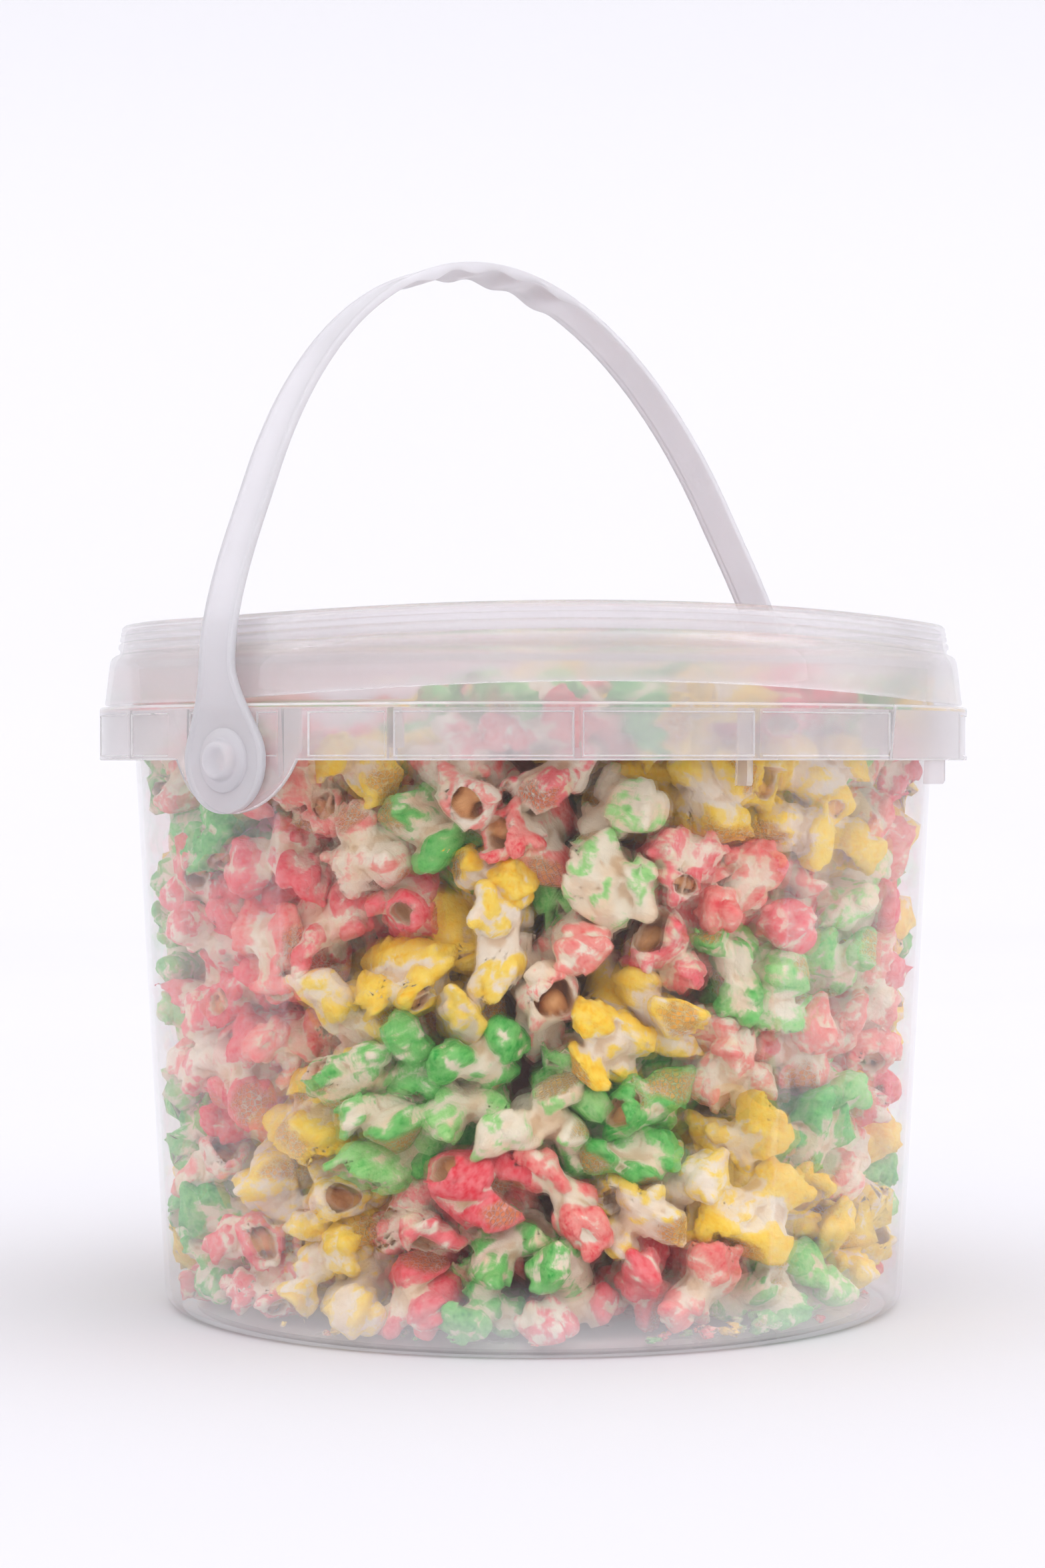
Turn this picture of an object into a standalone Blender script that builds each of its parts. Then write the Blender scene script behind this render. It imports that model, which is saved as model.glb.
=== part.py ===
"""A clear round tub full of popcorn, with a press-on lid and a bail handle.

Metres, +Z up. The origin is the middle of the tub's base, on the surface that it stands on.
The handle's pivots lie on a line along X, and the handle leans a little towards +Y.
"""

import math

import bmesh
import bpy
import numpy as np
from mathutils import Matrix, Vector, noise

MM = 0.001
GAP = 0.3 * MM  # clearance between neighbouring pieces

# Tub: a thin wall that leans out, with a rim that the lid clips over
WALL = 1.1 * MM
FOOT_RADIUS = 85.0 * MM
WALL_TAPER = 0.0545
FOOT_CORNER = 4.0 * MM
RIM_TOP = 148.5 * MM
RIM_BEAD = 0.9 * MM
RIM_BEAD_HEIGHT = 3.0 * MM

# Collar: a flange and a skirt round the tub under the rim
COLLAR_RADIUS = 100.0 * MM
COLLAR_TOP = 137.0 * MM
COLLAR_BOTTOM = 125.0 * MM
COLLAR_WALL = 1.2 * MM
COLLAR_EDGE = 0.5 * MM

# Round tabs of the collar that carry the handle's pivots
PIVOT_HEIGHT = 125.0 * MM
TAB_RADIUS = 19.3 * MM
TAB_CENTRE_HEIGHT = 133.0 * MM
PIVOT_HOLE_RADIUS = 3.9 * MM

# Ribs between the wall and the collar
RIB_COUNT = 16
RIB_THICKNESS = 1.4 * MM
RIB_STEP_HEIGHT = 127.6 * MM
RIB_STEP_RADIUS = 96.5 * MM
LONG_RIB_BOTTOM = 119.7 * MM
LONG_RIBS = (3, 5, 11, 13)
PIVOT_RIBS = (0, 8)
GUSSET_ANGLE = math.radians(7.8)
GUSSET_BOTTOM = 121.4 * MM

# Recessed panels in the collar, one between each pair of ribs
PANEL_DEPTH = 0.4 * MM
PANEL_BOTTOM = 126.0 * MM
PANEL_TOP = 135.0 * MM
PANEL_FRAME = 1.2 * MM
PIVOT_FRAME_ANGLE = math.radians(12)
PLAIN_BAYS = (12,)  # the bay of the tear-off tab has no panel

# Lid: a skirt round the rim, a raised stacking ring and a recessed middle
LID_WALL = 1.1 * MM
SKIRT_BOTTOM = 137.5 * MM
SKIRT_TOP = 146.0 * MM
SKIRT_BOTTOM_RADIUS = 98.8 * MM
SKIRT_TOP_RADIUS = 97.8 * MM
RING_BOTTOM = 149.5 * MM
RING_TOP = 155.7 * MM
RING_BOTTOM_RADIUS = 96.0 * MM
RING_TOP_RADIUS = 95.1 * MM
RING_INNER_RADIUS = 92.6 * MM
LID_PANEL_TOP = 150.4 * MM
PLUG_RADIUS = 91.4 * MM
PLUG_BOTTOM = 144.5 * MM

# The lid isn't pressed home all the way round: it stands a little high on one side
LID_RAISE = 4.0 * MM
LID_RAISE_ANGLE = math.radians(-129)
LID_RAISE_SPREAD = math.radians(50)
LID_FLEX_RADIUS = 70.0 * MM

# Handle: a thin strap on an arch, with round ends
STRAP_WIDTH = 9.5 * MM
STRAP_THICKNESS = 1.8 * MM
STRAP_LIP = 1.1 * MM
STRAP_CHANNEL = 0.45 * MM
HANDLE_REACH = 101.3 * MM
HANDLE_LEAN = math.radians(7.8)
LEG_TOP = 15.0 * MM
BEND_TOP = 62.5 * MM
ARCH_HALF_WIDTH = 102.4 * MM
ARCH_HALF_HEIGHT = 136.0 * MM
ARCH_DROP = 20.0 * MM  # the arch's ellipse is centred this far below the pivots
EAR_RADIUS = 11.3 * MM
EAR_TANGENT = math.radians(25)
NECK_TOP = 21.0 * MM
GRIP_WAVE = 15.5 * MM
GRIP_WAVES = 4
GRIP_DEPTH = 1.2 * MM

# Stud at each end of the handle: a button outside, a snap pin inside
BUTTON_RADIUS = 6.9 * MM
BUTTON_TOP_RADIUS = 4.2 * MM
BUTTON_HEIGHT = 3.0 * MM
PIN_RADIUS = 3.6 * MM
PIN_HEAD_RADIUS = 4.5 * MM
PIN_LENGTH = 3.0 * MM

# Popcorn: a lumpy heap, high on one side and low on the other
FLAKE_SIZE = 26.0 * MM
FLAKE_REACH = 0.8  # a flake's radius, as a share of the spacing between flakes
CLEFT_DEPTH = 12.0 * MM
HEAP_LOW = 129.0 * MM
HEAP_HIGH = 144.0 * MM
HEAP_CEILING = 148.6 * MM
HEAP_HIGH_ANGLE = math.radians(-50)
HEAP_SLOPE_START = -30.0 * MM
HEAP_SLOPE_END = 0.0 * MM
HEAP_SWELL = 5.75 * MM
HEAP_BRIM_RADIUS = 80.0 * MM
HEAP_SHOULDER = 3.6 * MM
HEAP_ROWS = 15
HEAP_RINGS = 7

# Facets
TUB_SEGMENTS = 64
LID_SEGMENTS = 56
HEAP_SEGMENTS = 56
STUD_SEGMENTS = 24


def smooth_step(value, low, high):
    """0 below low, 1 above high, and an even S-curve between them."""
    t = min(max((value - low) / (high - low), 0.0), 1.0)
    return t * t * (3 - 2 * t)


def ease(value, start, end, at_start, at_end, slope_start, slope_end):
    """Cubic curve from at_start to at_end with the given slopes at its ends."""
    span = end - start
    t = (value - start) / span
    return (
        at_start * (2 * t**3 - 3 * t**2 + 1)
        + span * slope_start * (t**3 - 2 * t**2 + t)
        + at_end * (3 * t**2 - 2 * t**3)
        + span * slope_end * (t**3 - t**2)
    )


def new_object(name, bm, material=None):
    """Object from a bmesh, faces outwards, shaded smooth with its corners sharp."""
    bmesh.ops.recalc_face_normals(bm, faces=bm.faces)
    mesh = bpy.data.meshes.new(name)
    bm.to_mesh(mesh)
    bm.free()
    mesh.shade_smooth()
    mesh.set_sharp_from_angle(angle=math.radians(35))
    obj = bpy.data.objects.new(name, mesh)
    bpy.context.scene.collection.objects.link(obj)
    if material:
        mesh.materials.append(material)
    return obj


def new_material(name, colour, roughness, transmission=0.0):
    material = bpy.data.materials.new(name)
    material.use_nodes = True
    shader = material.node_tree.nodes["Principled BSDF"]
    shader.inputs["Base Color"].default_value = (*colour, 1.0)
    shader.inputs["Roughness"].default_value = roughness
    shader.inputs["Metallic"].default_value = 0.0
    shader.inputs["Transmission Weight"].default_value = transmission
    material.diffuse_color = (*colour, 1.0)
    return material


def even_angles(count):
    return [math.tau * i / count for i in range(count)]


def turn(name, profile_at, angles, material):
    """Solid of revolution whose profile may change with the angle.

    profile_at(angle) lists (radius, height) points, and starts and ends on the axis.
    """
    bm = bmesh.new()
    profiles = [profile_at(angle) for angle in angles]
    start = bm.verts.new((0, 0, profiles[0][0][1]))
    end = bm.verts.new((0, 0, profiles[0][-1][1]))
    columns = [
        [bm.verts.new((r * math.cos(a), r * math.sin(a), z)) for r, z in profile[1:-1]]
        for a, profile in zip(angles, profiles)
    ]
    for here, there in zip(columns, columns[1:] + columns[:1]):
        bm.faces.new((start, here[0], there[0]))
        bm.faces.new((end, there[-1], here[-1]))
        for k in range(len(here) - 1):
            bm.faces.new((here[k], here[k + 1], there[k + 1], there[k]))
    return new_object(name, bm, material)


def add_prism(bm, outline, thickness, placement):
    """Adds a plate with an (x, z) outline, thickness along Y, placed by a matrix."""
    sides = [
        [bm.verts.new(placement @ Vector((x, y, z))) for x, z in outline]
        for y in (-thickness / 2, thickness / 2)
    ]
    bm.faces.new(sides[0])
    bm.faces.new(reversed(sides[1]))
    count = len(outline)
    for k in range(count):
        after = (k + 1) % count
        bm.faces.new((sides[0][k], sides[1][k], sides[1][after], sides[0][after]))


def add_boolean(obj, other, operation):
    """Joins a hidden object to obj, or cuts it away from obj."""
    other.hide_render = True
    other.display_type = "WIRE"
    modifier = obj.modifiers.new(other.name, "BOOLEAN")
    modifier.object = other
    modifier.operation = operation
    modifier.solver = "EXACT"


# Tub


def wall_radius(height):
    """Outer radius of the tub's wall."""
    return FOOT_RADIUS + WALL_TAPER * height


def collar_bottom(angle):
    """Height of the collar's lower edge, which drops round each pivot."""
    offset = abs(COLLAR_RADIUS * math.sin(angle))
    if offset >= TAB_RADIUS:
        return COLLAR_BOTTOM
    return min(COLLAR_BOTTOM, TAB_CENTRE_HEIGHT - math.sqrt(TAB_RADIUS**2 - offset**2))


def corner_arc(radius, height, size, steps):
    """Quarter circle from the floor up to the wall, centred size in from both."""
    return [
        (radius - size * (1 - math.sin(t)), height + size * (1 - math.cos(t)))
        for t in np.linspace(0, math.pi / 2, steps)
    ]


def tub_profile(angle):
    under_flange = COLLAR_TOP - COLLAR_WALL
    inside_skirt = COLLAR_RADIUS - COLLAR_WALL
    bottom = collar_bottom(angle)
    rim = wall_radius(RIM_TOP)
    outside = corner_arc(wall_radius(FOOT_CORNER), 0, FOOT_CORNER, 4)
    collar = [
        (wall_radius(under_flange), under_flange),
        (inside_skirt, under_flange),
        (inside_skirt, bottom),
        (COLLAR_RADIUS, bottom),
        (COLLAR_RADIUS, COLLAR_TOP - COLLAR_EDGE),
        (COLLAR_RADIUS - COLLAR_EDGE, COLLAR_TOP),
        (wall_radius(COLLAR_TOP), COLLAR_TOP),
    ]
    rim_edge = [
        (wall_radius(RIM_TOP - RIM_BEAD_HEIGHT), RIM_TOP - RIM_BEAD_HEIGHT),
        (rim + RIM_BEAD, RIM_TOP - RIM_BEAD_HEIGHT / 2),
        (rim, RIM_TOP),
        (rim - WALL, RIM_TOP),
    ]
    inner_corner = FOOT_CORNER - WALL
    inside = corner_arc(wall_radius(FOOT_CORNER) - WALL, WALL, inner_corner, 3)
    return [(0, 0), *outside, *collar, *rim_edge, *reversed(inside), (0, WALL)]


def tub_angles():
    """Even steps round the tub, with finer ones where the tabs' edges curve."""
    tab_half_width = math.sqrt(TAB_RADIUS**2 - (TAB_CENTRE_HEIGHT - COLLAR_BOTTOM) ** 2)
    reach = math.asin(tab_half_width / COLLAR_RADIUS)
    fine = [side * reach * part for side in (-1, 1) for part in (0.25, 0.75, 0.9, 1)]
    angles = even_angles(TUB_SEGMENTS)
    angles += [(pivot + step) % math.tau for pivot in (0, math.pi) for step in fine]
    return sorted(angles)


def rib_outline(index):
    """Side view of a rib, from inside the wall's thickness to inside the skirt's."""
    inner = wall_radius(LONG_RIB_BOTTOM) - WALL / 2
    outer = COLLAR_RADIUS - COLLAR_WALL / 2
    top = COLLAR_TOP - COLLAR_WALL / 2
    foot = COLLAR_BOTTOM + COLLAR_EDGE
    step = LONG_RIB_BOTTOM if index in LONG_RIBS else RIB_STEP_HEIGHT
    return [
        (inner, top),
        (outer, top),
        (outer, foot),
        (RIB_STEP_RADIUS, foot),
        (RIB_STEP_RADIUS, step),
        (inner, step),
    ]


def gusset_outline():
    """Side view of the slanted plates that stiffen each pivot's tab."""
    inner = wall_radius(LONG_RIB_BOTTOM) - WALL / 2
    outer = COLLAR_RADIUS - COLLAR_WALL / 2
    top = COLLAR_TOP - COLLAR_WALL / 2
    return [(inner, top), (outer, top), (outer, GUSSET_BOTTOM), (inner, RIB_STEP_HEIGHT)]


def make_ribs():
    bm = bmesh.new()
    for index in range(RIB_COUNT):
        if index in PIVOT_RIBS:
            continue
        placement = Matrix.Rotation(math.tau * index / RIB_COUNT, 4, "Z")
        add_prism(bm, rib_outline(index), RIB_THICKNESS, placement)
    for pivot in (0, math.pi):
        for side in (-1, 1):
            placement = Matrix.Rotation(pivot + side * GUSSET_ANGLE, 4, "Z")
            add_prism(bm, gusset_outline(), RIB_THICKNESS, placement)
    return new_object("tub_ribs", bm)


def make_pivot_holes():
    """Two round cutters through the collar's tabs."""
    bm = bmesh.new()
    for side in (-1, 1):
        placement = Matrix.Translation((side * (COLLAR_RADIUS - COLLAR_WALL / 2), 0, PIVOT_HEIGHT))
        bmesh.ops.create_cone(
            bm,
            cap_ends=True,
            segments=STUD_SEGMENTS,
            radius1=PIVOT_HOLE_RADIUS,
            radius2=PIVOT_HOLE_RADIUS,
            depth=4 * COLLAR_WALL,
            matrix=placement @ Matrix.Rotation(math.pi / 2, 4, "Y"),
        )
    return new_object("pivot_holes", bm)


def panel_span(bay):
    """First and last angle of the panel in a bay between two ribs."""
    pitch = math.tau / RIB_COUNT
    frame = PANEL_FRAME / COLLAR_RADIUS
    start = bay * pitch + frame
    end = (bay + 1) * pitch - frame
    if bay in PIVOT_RIBS:
        start = bay * pitch + PIVOT_FRAME_ANGLE
    if bay + 1 in PIVOT_RIBS or bay + 1 == RIB_COUNT:
        end = (bay + 1) * pitch - PIVOT_FRAME_ANGLE
    return start, end


def make_panel_cutters():
    """Curved blocks that sink the panels into the collar's outer face."""
    bm = bmesh.new()
    radii = (COLLAR_RADIUS - PANEL_DEPTH, COLLAR_RADIUS + COLLAR_WALL)
    for bay in range(RIB_COUNT):
        if bay in PLAIN_BAYS:
            continue
        start, end = panel_span(bay)
        steps = 5 if end - start > math.radians(15) else 3
        loops = []
        for angle in np.linspace(start, end, steps):
            out = Vector((math.cos(angle), math.sin(angle), 0))
            corners = ((0, PANEL_BOTTOM), (1, PANEL_BOTTOM), (1, PANEL_TOP), (0, PANEL_TOP))
            loops.append([bm.verts.new(out * radii[k] + Vector((0, 0, z))) for k, z in corners])
        bm.faces.new(loops[0])
        bm.faces.new(reversed(loops[-1]))
        for here, there in zip(loops, loops[1:]):
            for k in range(4):
                bm.faces.new((here[k], there[k], there[(k + 1) % 4], here[(k + 1) % 4]))
    return new_object("collar_panels", bm)


def make_tub():
    plastic = new_material("clear_plastic", (0.93, 0.93, 0.94), 0.12, 0.9)
    tub = turn("tub", tub_profile, tub_angles(), plastic)
    add_boolean(tub, make_ribs(), "UNION")
    add_boolean(tub, make_panel_cutters(), "DIFFERENCE")
    add_boolean(tub, make_pivot_holes(), "DIFFERENCE")
    return tub


# Lid


def lid_lift(radius, angle):
    """How far the lid stands above its seat: most at its edge, on one side."""
    if radius <= LID_FLEX_RADIUS:
        return 0.0
    turned = math.remainder(angle - LID_RAISE_ANGLE, math.tau) / LID_RAISE_SPREAD
    if abs(turned) >= 1:
        return 0.0
    flex = (radius - LID_FLEX_RADIUS) / (SKIRT_BOTTOM_RADIUS - LID_FLEX_RADIUS)
    return LID_RAISE * (1 - turned**2) ** 2 * flex**4


def lid_profile(angle):
    wall = LID_WALL
    edge = 0.5 * MM
    outside = [
        (LID_FLEX_RADIUS, LID_PANEL_TOP),
        (RING_INNER_RADIUS - 3 * edge, LID_PANEL_TOP),
        (RING_INNER_RADIUS - edge, LID_PANEL_TOP + 2 * edge),
        (RING_INNER_RADIUS, RING_TOP - edge),
        (RING_INNER_RADIUS + edge, RING_TOP),
        (RING_TOP_RADIUS - edge, RING_TOP),
        (RING_TOP_RADIUS, RING_TOP - edge),
        (RING_BOTTOM_RADIUS, RING_BOTTOM),
        (SKIRT_TOP_RADIUS, SKIRT_TOP),
        (SKIRT_BOTTOM_RADIUS, SKIRT_BOTTOM),
    ]
    inside = [
        (SKIRT_BOTTOM_RADIUS - wall, SKIRT_BOTTOM),
        (SKIRT_TOP_RADIUS - wall, SKIRT_TOP),
        (RING_BOTTOM_RADIUS - wall, RING_BOTTOM),
        (RING_TOP_RADIUS - wall, RING_TOP - wall),
        (RING_INNER_RADIUS + wall, RING_TOP - wall),
        (RING_INNER_RADIUS + wall, LID_PANEL_TOP - wall),
        (PLUG_RADIUS, LID_PANEL_TOP - wall),
        (PLUG_RADIUS - edge, PLUG_BOTTOM),
        (PLUG_RADIUS - wall, PLUG_BOTTOM),
        (PLUG_RADIUS - wall, LID_PANEL_TOP - wall),
        (LID_FLEX_RADIUS, LID_PANEL_TOP - wall),
    ]
    points = [(0, LID_PANEL_TOP), *outside, *inside, (0, LID_PANEL_TOP - wall)]
    return [(r, z + lid_lift(r, angle)) for r, z in points]


def make_lid():
    plastic = new_material("frosted_plastic", (0.86, 0.85, 0.88), 0.35, 0.5)
    return turn("lid", lid_profile, even_angles(LID_SEGMENTS), plastic)


# Handle


def arch_reach(height):
    """Distance of the strap's middle from the tub's axis, at a height above the pivots.

    The legs stand straight past the collar, then bend in and follow an ellipse.
    """
    if height <= LEG_TOP:
        return HANDLE_REACH
    if height >= BEND_TOP:
        return ellipse_reach(height)
    root = math.sqrt(1 - ((BEND_TOP + ARCH_DROP) / ARCH_HALF_HEIGHT) ** 2)
    slope = -ARCH_HALF_WIDTH * (BEND_TOP + ARCH_DROP) / (ARCH_HALF_HEIGHT**2 * root)
    return ease(height, LEG_TOP, BEND_TOP, HANDLE_REACH, ellipse_reach(BEND_TOP), 0, slope)


def ellipse_reach(height):
    return ARCH_HALF_WIDTH * math.sqrt(1 - ((height + ARCH_DROP) / ARCH_HALF_HEIGHT) ** 2)


def arch_path():
    """Fine path of one leg from pivot to apex: arc length, reach and height."""
    first = math.asin((BEND_TOP + ARCH_DROP) / ARCH_HALF_HEIGHT)
    heights = list(np.linspace(0, BEND_TOP, 60))
    reaches = [arch_reach(h) for h in heights]
    for angle in np.linspace(first, math.pi / 2, 120)[1:]:
        heights.append(ARCH_HALF_HEIGHT * math.sin(angle) - ARCH_DROP)
        reaches.append(ARCH_HALF_WIDTH * math.cos(angle))
    lengths = np.concatenate(([0], np.cumsum(np.hypot(np.diff(reaches), np.diff(heights)))))
    return lengths, np.array(reaches), np.array(heights)


def neck_half_width(height):
    """Half-width of the strap where it widens into its round end."""
    tangent_height = EAR_RADIUS * math.sin(EAR_TANGENT)
    tangent_width = EAR_RADIUS * math.cos(EAR_TANGENT)
    if height >= NECK_TOP:
        return STRAP_WIDTH / 2
    slope = -math.tan(EAR_TANGENT)
    return ease(height, tangent_height, NECK_TOP, tangent_width, STRAP_WIDTH / 2, slope, 0)


def grip_depth(from_apex):
    """Extra thickness under the strap: a wave that fits the fingers."""
    if abs(from_apex) >= GRIP_WAVE * GRIP_WAVES / 2:
        return 0.0
    return GRIP_DEPTH * math.sin(math.pi * from_apex / GRIP_WAVE) ** 2


def leg_stations():
    """Cross-sections from a round end to the apex: reach, height, tangent angle, half-width, grip."""
    stations = []
    for angle in np.linspace(math.radians(-86), EAR_TANGENT, 9):
        height = EAR_RADIUS * math.sin(angle)
        stations.append((HANDLE_REACH, height, math.pi / 2, EAR_RADIUS * math.cos(angle), 0.0))
    lengths, reaches, heights = arch_path()
    neck_start = EAR_RADIUS * math.sin(EAR_TANGENT)
    grip_start = lengths[-1] - GRIP_WAVE * GRIP_WAVES / 2
    stops = [
        *np.linspace(neck_start, NECK_TOP, 6)[1:],
        *np.linspace(NECK_TOP, grip_start, 13)[1:],
        *np.linspace(grip_start, lengths[-1], 13)[1:],
    ]
    for stop in stops:
        reach = np.interp(stop, lengths, reaches)
        height = np.interp(stop, lengths, heights)
        k = min(max(np.searchsorted(lengths, stop), 1), len(lengths) - 1)
        slant = math.atan2(heights[k] - heights[k - 1], reaches[k] - reaches[k - 1])
        if stop == stops[-1]:
            slant = math.pi
        width = neck_half_width(height)
        stations.append((reach, height, slant, width, grip_depth(lengths[-1] - stop)))
    return stations


def strap_section(half_width, grip):
    """(across, outwards) points round the strap: a flat underside and a lipped outer face."""
    half = STRAP_THICKNESS / 2
    lip = min(STRAP_LIP, 0.4 * half_width)
    inner = half_width - lip - min(STRAP_CHANNEL, 0.2 * half_width)
    return [
        (-half_width, -half - grip),
        (half_width, -half - grip),
        (half_width, half),
        (half_width - lip, half),
        (inner, half - STRAP_CHANNEL),
        (-inner, half - STRAP_CHANNEL),
        (lip - half_width, half),
        (-half_width, half),
    ]


def make_strap(material):
    """The strap, swept over the arch from one round end to the other."""
    leg = leg_stations()
    mirrored = [(-x, h, math.pi - slant, w, grip) for x, h, slant, w, grip in leg[:-1]]
    bm = bmesh.new()
    loops = []
    for number, (x, height, slant, width, grip) in enumerate(leg + mirrored[::-1]):
        # the strap's outer face looks away from the arch's middle
        outward = Vector((math.sin(slant), 0, -math.cos(slant)))
        if number >= len(leg):
            outward = Vector((-math.sin(slant), 0, math.cos(slant)))
        centre = Vector((x, 0, height))
        section = strap_section(width, grip)
        loops.append([bm.verts.new(centre + outward * v + Vector((0, u, 0))) for u, v in section])
    bm.faces.new(loops[0])
    bm.faces.new(reversed(loops[-1]))
    for here, there in zip(loops, loops[1:]):
        for k in range(len(here)):
            after = (k + 1) % len(here)
            bm.faces.new((here[k], there[k], there[after], here[after]))
    return new_object("handle", bm, material)


def stud_profile():
    """(distance from the pivot axis, distance from the tub's axis) of a stud, from outside in."""
    face = HANDLE_REACH + STRAP_THICKNESS / 2 - STRAP_CHANNEL
    behind_tab = COLLAR_RADIUS - COLLAR_WALL - GAP
    return [
        (0, face + BUTTON_HEIGHT),
        (BUTTON_TOP_RADIUS, face + BUTTON_HEIGHT),
        (BUTTON_RADIUS, face),
        (BUTTON_RADIUS, HANDLE_REACH),
        (PIN_RADIUS, HANDLE_REACH),
        (PIN_RADIUS, behind_tab),
        (PIN_HEAD_RADIUS, behind_tab - GAP),
        (PIN_RADIUS, behind_tab - PIN_LENGTH),
        (0, behind_tab - PIN_LENGTH),
    ]


def make_studs():
    """Both studs, each turned about the pivot axis."""
    bm = bmesh.new()
    profile = stud_profile()
    for side in (-1, 1):
        tips = [bm.verts.new((side * profile[k][1], 0, 0)) for k in (0, -1)]
        columns = [
            [
                bm.verts.new((side * x, r * math.cos(angle), side * r * math.sin(angle)))
                for r, x in profile[1:-1]
            ]
            for angle in even_angles(STUD_SEGMENTS)
        ]
        for here, there in zip(columns, columns[1:] + columns[:1]):
            bm.faces.new((tips[0], here[0], there[0]))
            bm.faces.new((tips[1], there[-1], here[-1]))
            for k in range(len(here) - 1):
                bm.faces.new((here[k], here[k + 1], there[k + 1], there[k]))
    return new_object("handle_studs", bm)


def make_handle():
    plastic = new_material("milky_plastic", (0.85, 0.84, 0.87), 0.4, 0.4)
    handle = make_strap(plastic)
    studs = make_studs()
    studs.parent = handle
    add_boolean(handle, studs, "UNION")
    handle.location = (0, 0, PIVOT_HEIGHT)
    handle.rotation_euler = (-HANDLE_LEAN, 0, 0)
    return handle


# Popcorn


def cleft(x, y, z):
    """0 on a flake's crown, falling away like a ball to 1 in the clefts between flakes."""
    distances, _ = noise.voronoi(Vector((x, y, z)) / FLAKE_SIZE)
    return 1 - math.sqrt(1 - min(distances[0] / FLAKE_REACH, 1.0) ** 2)


def heap_height(x, y):
    """Top of the heap before its flakes are shaped."""
    across = x * math.cos(HEAP_HIGH_ANGLE) + y * math.sin(HEAP_HIGH_ANGLE)
    rise = smooth_step(across, HEAP_SLOPE_START, HEAP_SLOPE_END)
    swell = noise.noise(Vector((x, y, 0)) / (2.5 * FLAKE_SIZE))
    return HEAP_LOW + (HEAP_HIGH - HEAP_LOW) * rise + HEAP_SWELL * swell


def room_radius(height):
    """Clear radius inside the tub, or inside the lid's plug where that hangs into it."""
    if height > PLUG_BOTTOM - GAP:
        return PLUG_RADIUS - LID_WALL - GAP
    return wall_radius(height) - WALL - GAP


def heap_profile(angle):
    """Floor, side and top of the heap, with its outline cut into flakes."""
    cos, sin = math.cos(angle), math.sin(angle)
    floor = WALL + GAP
    brim = heap_height(HEAP_BRIM_RADIUS * cos, HEAP_BRIM_RADIUS * sin) - HEAP_SHOULDER
    points = [(0, floor), (FOOT_RADIUS - 2 * FOOT_CORNER, floor)]
    for z in np.linspace(floor + FOOT_CORNER, brim, HEAP_ROWS):
        room = room_radius(z)
        points.append((room - CLEFT_DEPTH * cleft(room * cos, room * sin, z), z))
    edge = points[-1][0]
    for r in np.linspace(edge, 0, HEAP_RINGS + 2)[1:-1]:
        crown = heap_height(r * cos, r * sin) + HEAP_SHOULDER
        top = crown - CLEFT_DEPTH * cleft(r * cos, r * sin, crown)
        points.append((r, min(top, HEAP_CEILING)))
    points.append((0, heap_height(0, 0)))
    return points


def make_popcorn():
    corn = new_material("popcorn", (0.86, 0.60, 0.48), 0.8)
    return turn("popcorn", heap_profile, even_angles(HEAP_SEGMENTS), corn)


def main():
    for obj in list(bpy.data.objects):
        bpy.data.objects.remove(obj)
    root = bpy.data.objects.new("popcorn_bucket", None)
    bpy.context.scene.collection.objects.link(root)
    for piece in (make_tub(), make_lid(), make_handle(), make_popcorn()):
        piece.parent = root


main()
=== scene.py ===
"""Looks of the bucket of popcorn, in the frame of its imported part.

The plastic is made again with fine curves and rounded edges. The heap becomes loose flakes over a
smaller core. Shapes are worked out in millimetres and turned into metres as each mesh is made.
"""

import math

import bmesh
import bpy
import numpy as np
from mathutils import Matrix, Vector


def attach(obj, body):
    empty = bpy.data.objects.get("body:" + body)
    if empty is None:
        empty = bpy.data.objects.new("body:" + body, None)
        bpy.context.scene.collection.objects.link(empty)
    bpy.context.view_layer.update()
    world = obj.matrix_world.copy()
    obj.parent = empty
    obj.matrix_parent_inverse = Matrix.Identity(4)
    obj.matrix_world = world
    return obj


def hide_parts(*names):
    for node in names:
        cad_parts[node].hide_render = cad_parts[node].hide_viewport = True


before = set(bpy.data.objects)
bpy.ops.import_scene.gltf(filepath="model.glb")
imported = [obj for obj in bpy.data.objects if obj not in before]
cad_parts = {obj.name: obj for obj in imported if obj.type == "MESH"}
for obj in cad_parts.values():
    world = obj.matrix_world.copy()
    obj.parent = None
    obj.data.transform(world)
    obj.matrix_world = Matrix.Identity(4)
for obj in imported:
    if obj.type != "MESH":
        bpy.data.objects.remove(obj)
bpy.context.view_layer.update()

MM = 0.001
VIEW_AZIMUTH = math.radians(-50.3)

# Tub and collar
WALL = 1.1
FOOT_RADIUS = 85.0
WALL_TAPER = 0.0545
FOOT_CORNER = 4.0
RIM_TOP = 148.5
COLLAR_RADIUS = 100.0
COLLAR_WALL = 1.2
COLLAR_TOP = 137.0
COLLAR_BOTTOM = 125.0
EDGE = 0.35  # rounding of the collar's edges
TAB_RADIUS = 19.3
TAB_CENTRE_HEIGHT = 133.0
PIVOT_HEIGHT = 125.0
PIVOT_HOLE_RADIUS = 3.9

# Ribs and panels of the collar
RIB_COUNT = 16
RIB_HALF_ANGLE = 0.7 / 96
RIB_STEP_HEIGHT = 127.6
RIB_STEP_RADIUS = 96.5
LONG_RIB_BOTTOM = 119.7
LONG_RIBS = (3, 5, 11, 13)
GUSSET_ANGLE = math.radians(7.8)
GUSSET_BOTTOM = 121.4
PANEL_DEPTH = 0.4
PANEL_BOTTOM = 126.0
PANEL_TOP = 135.0
PANEL_FRAME_ANGLE = 1.2 / COLLAR_RADIUS
PIVOT_FRAME_ANGLE = math.radians(12)
TEAR_BAY = 12

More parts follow.
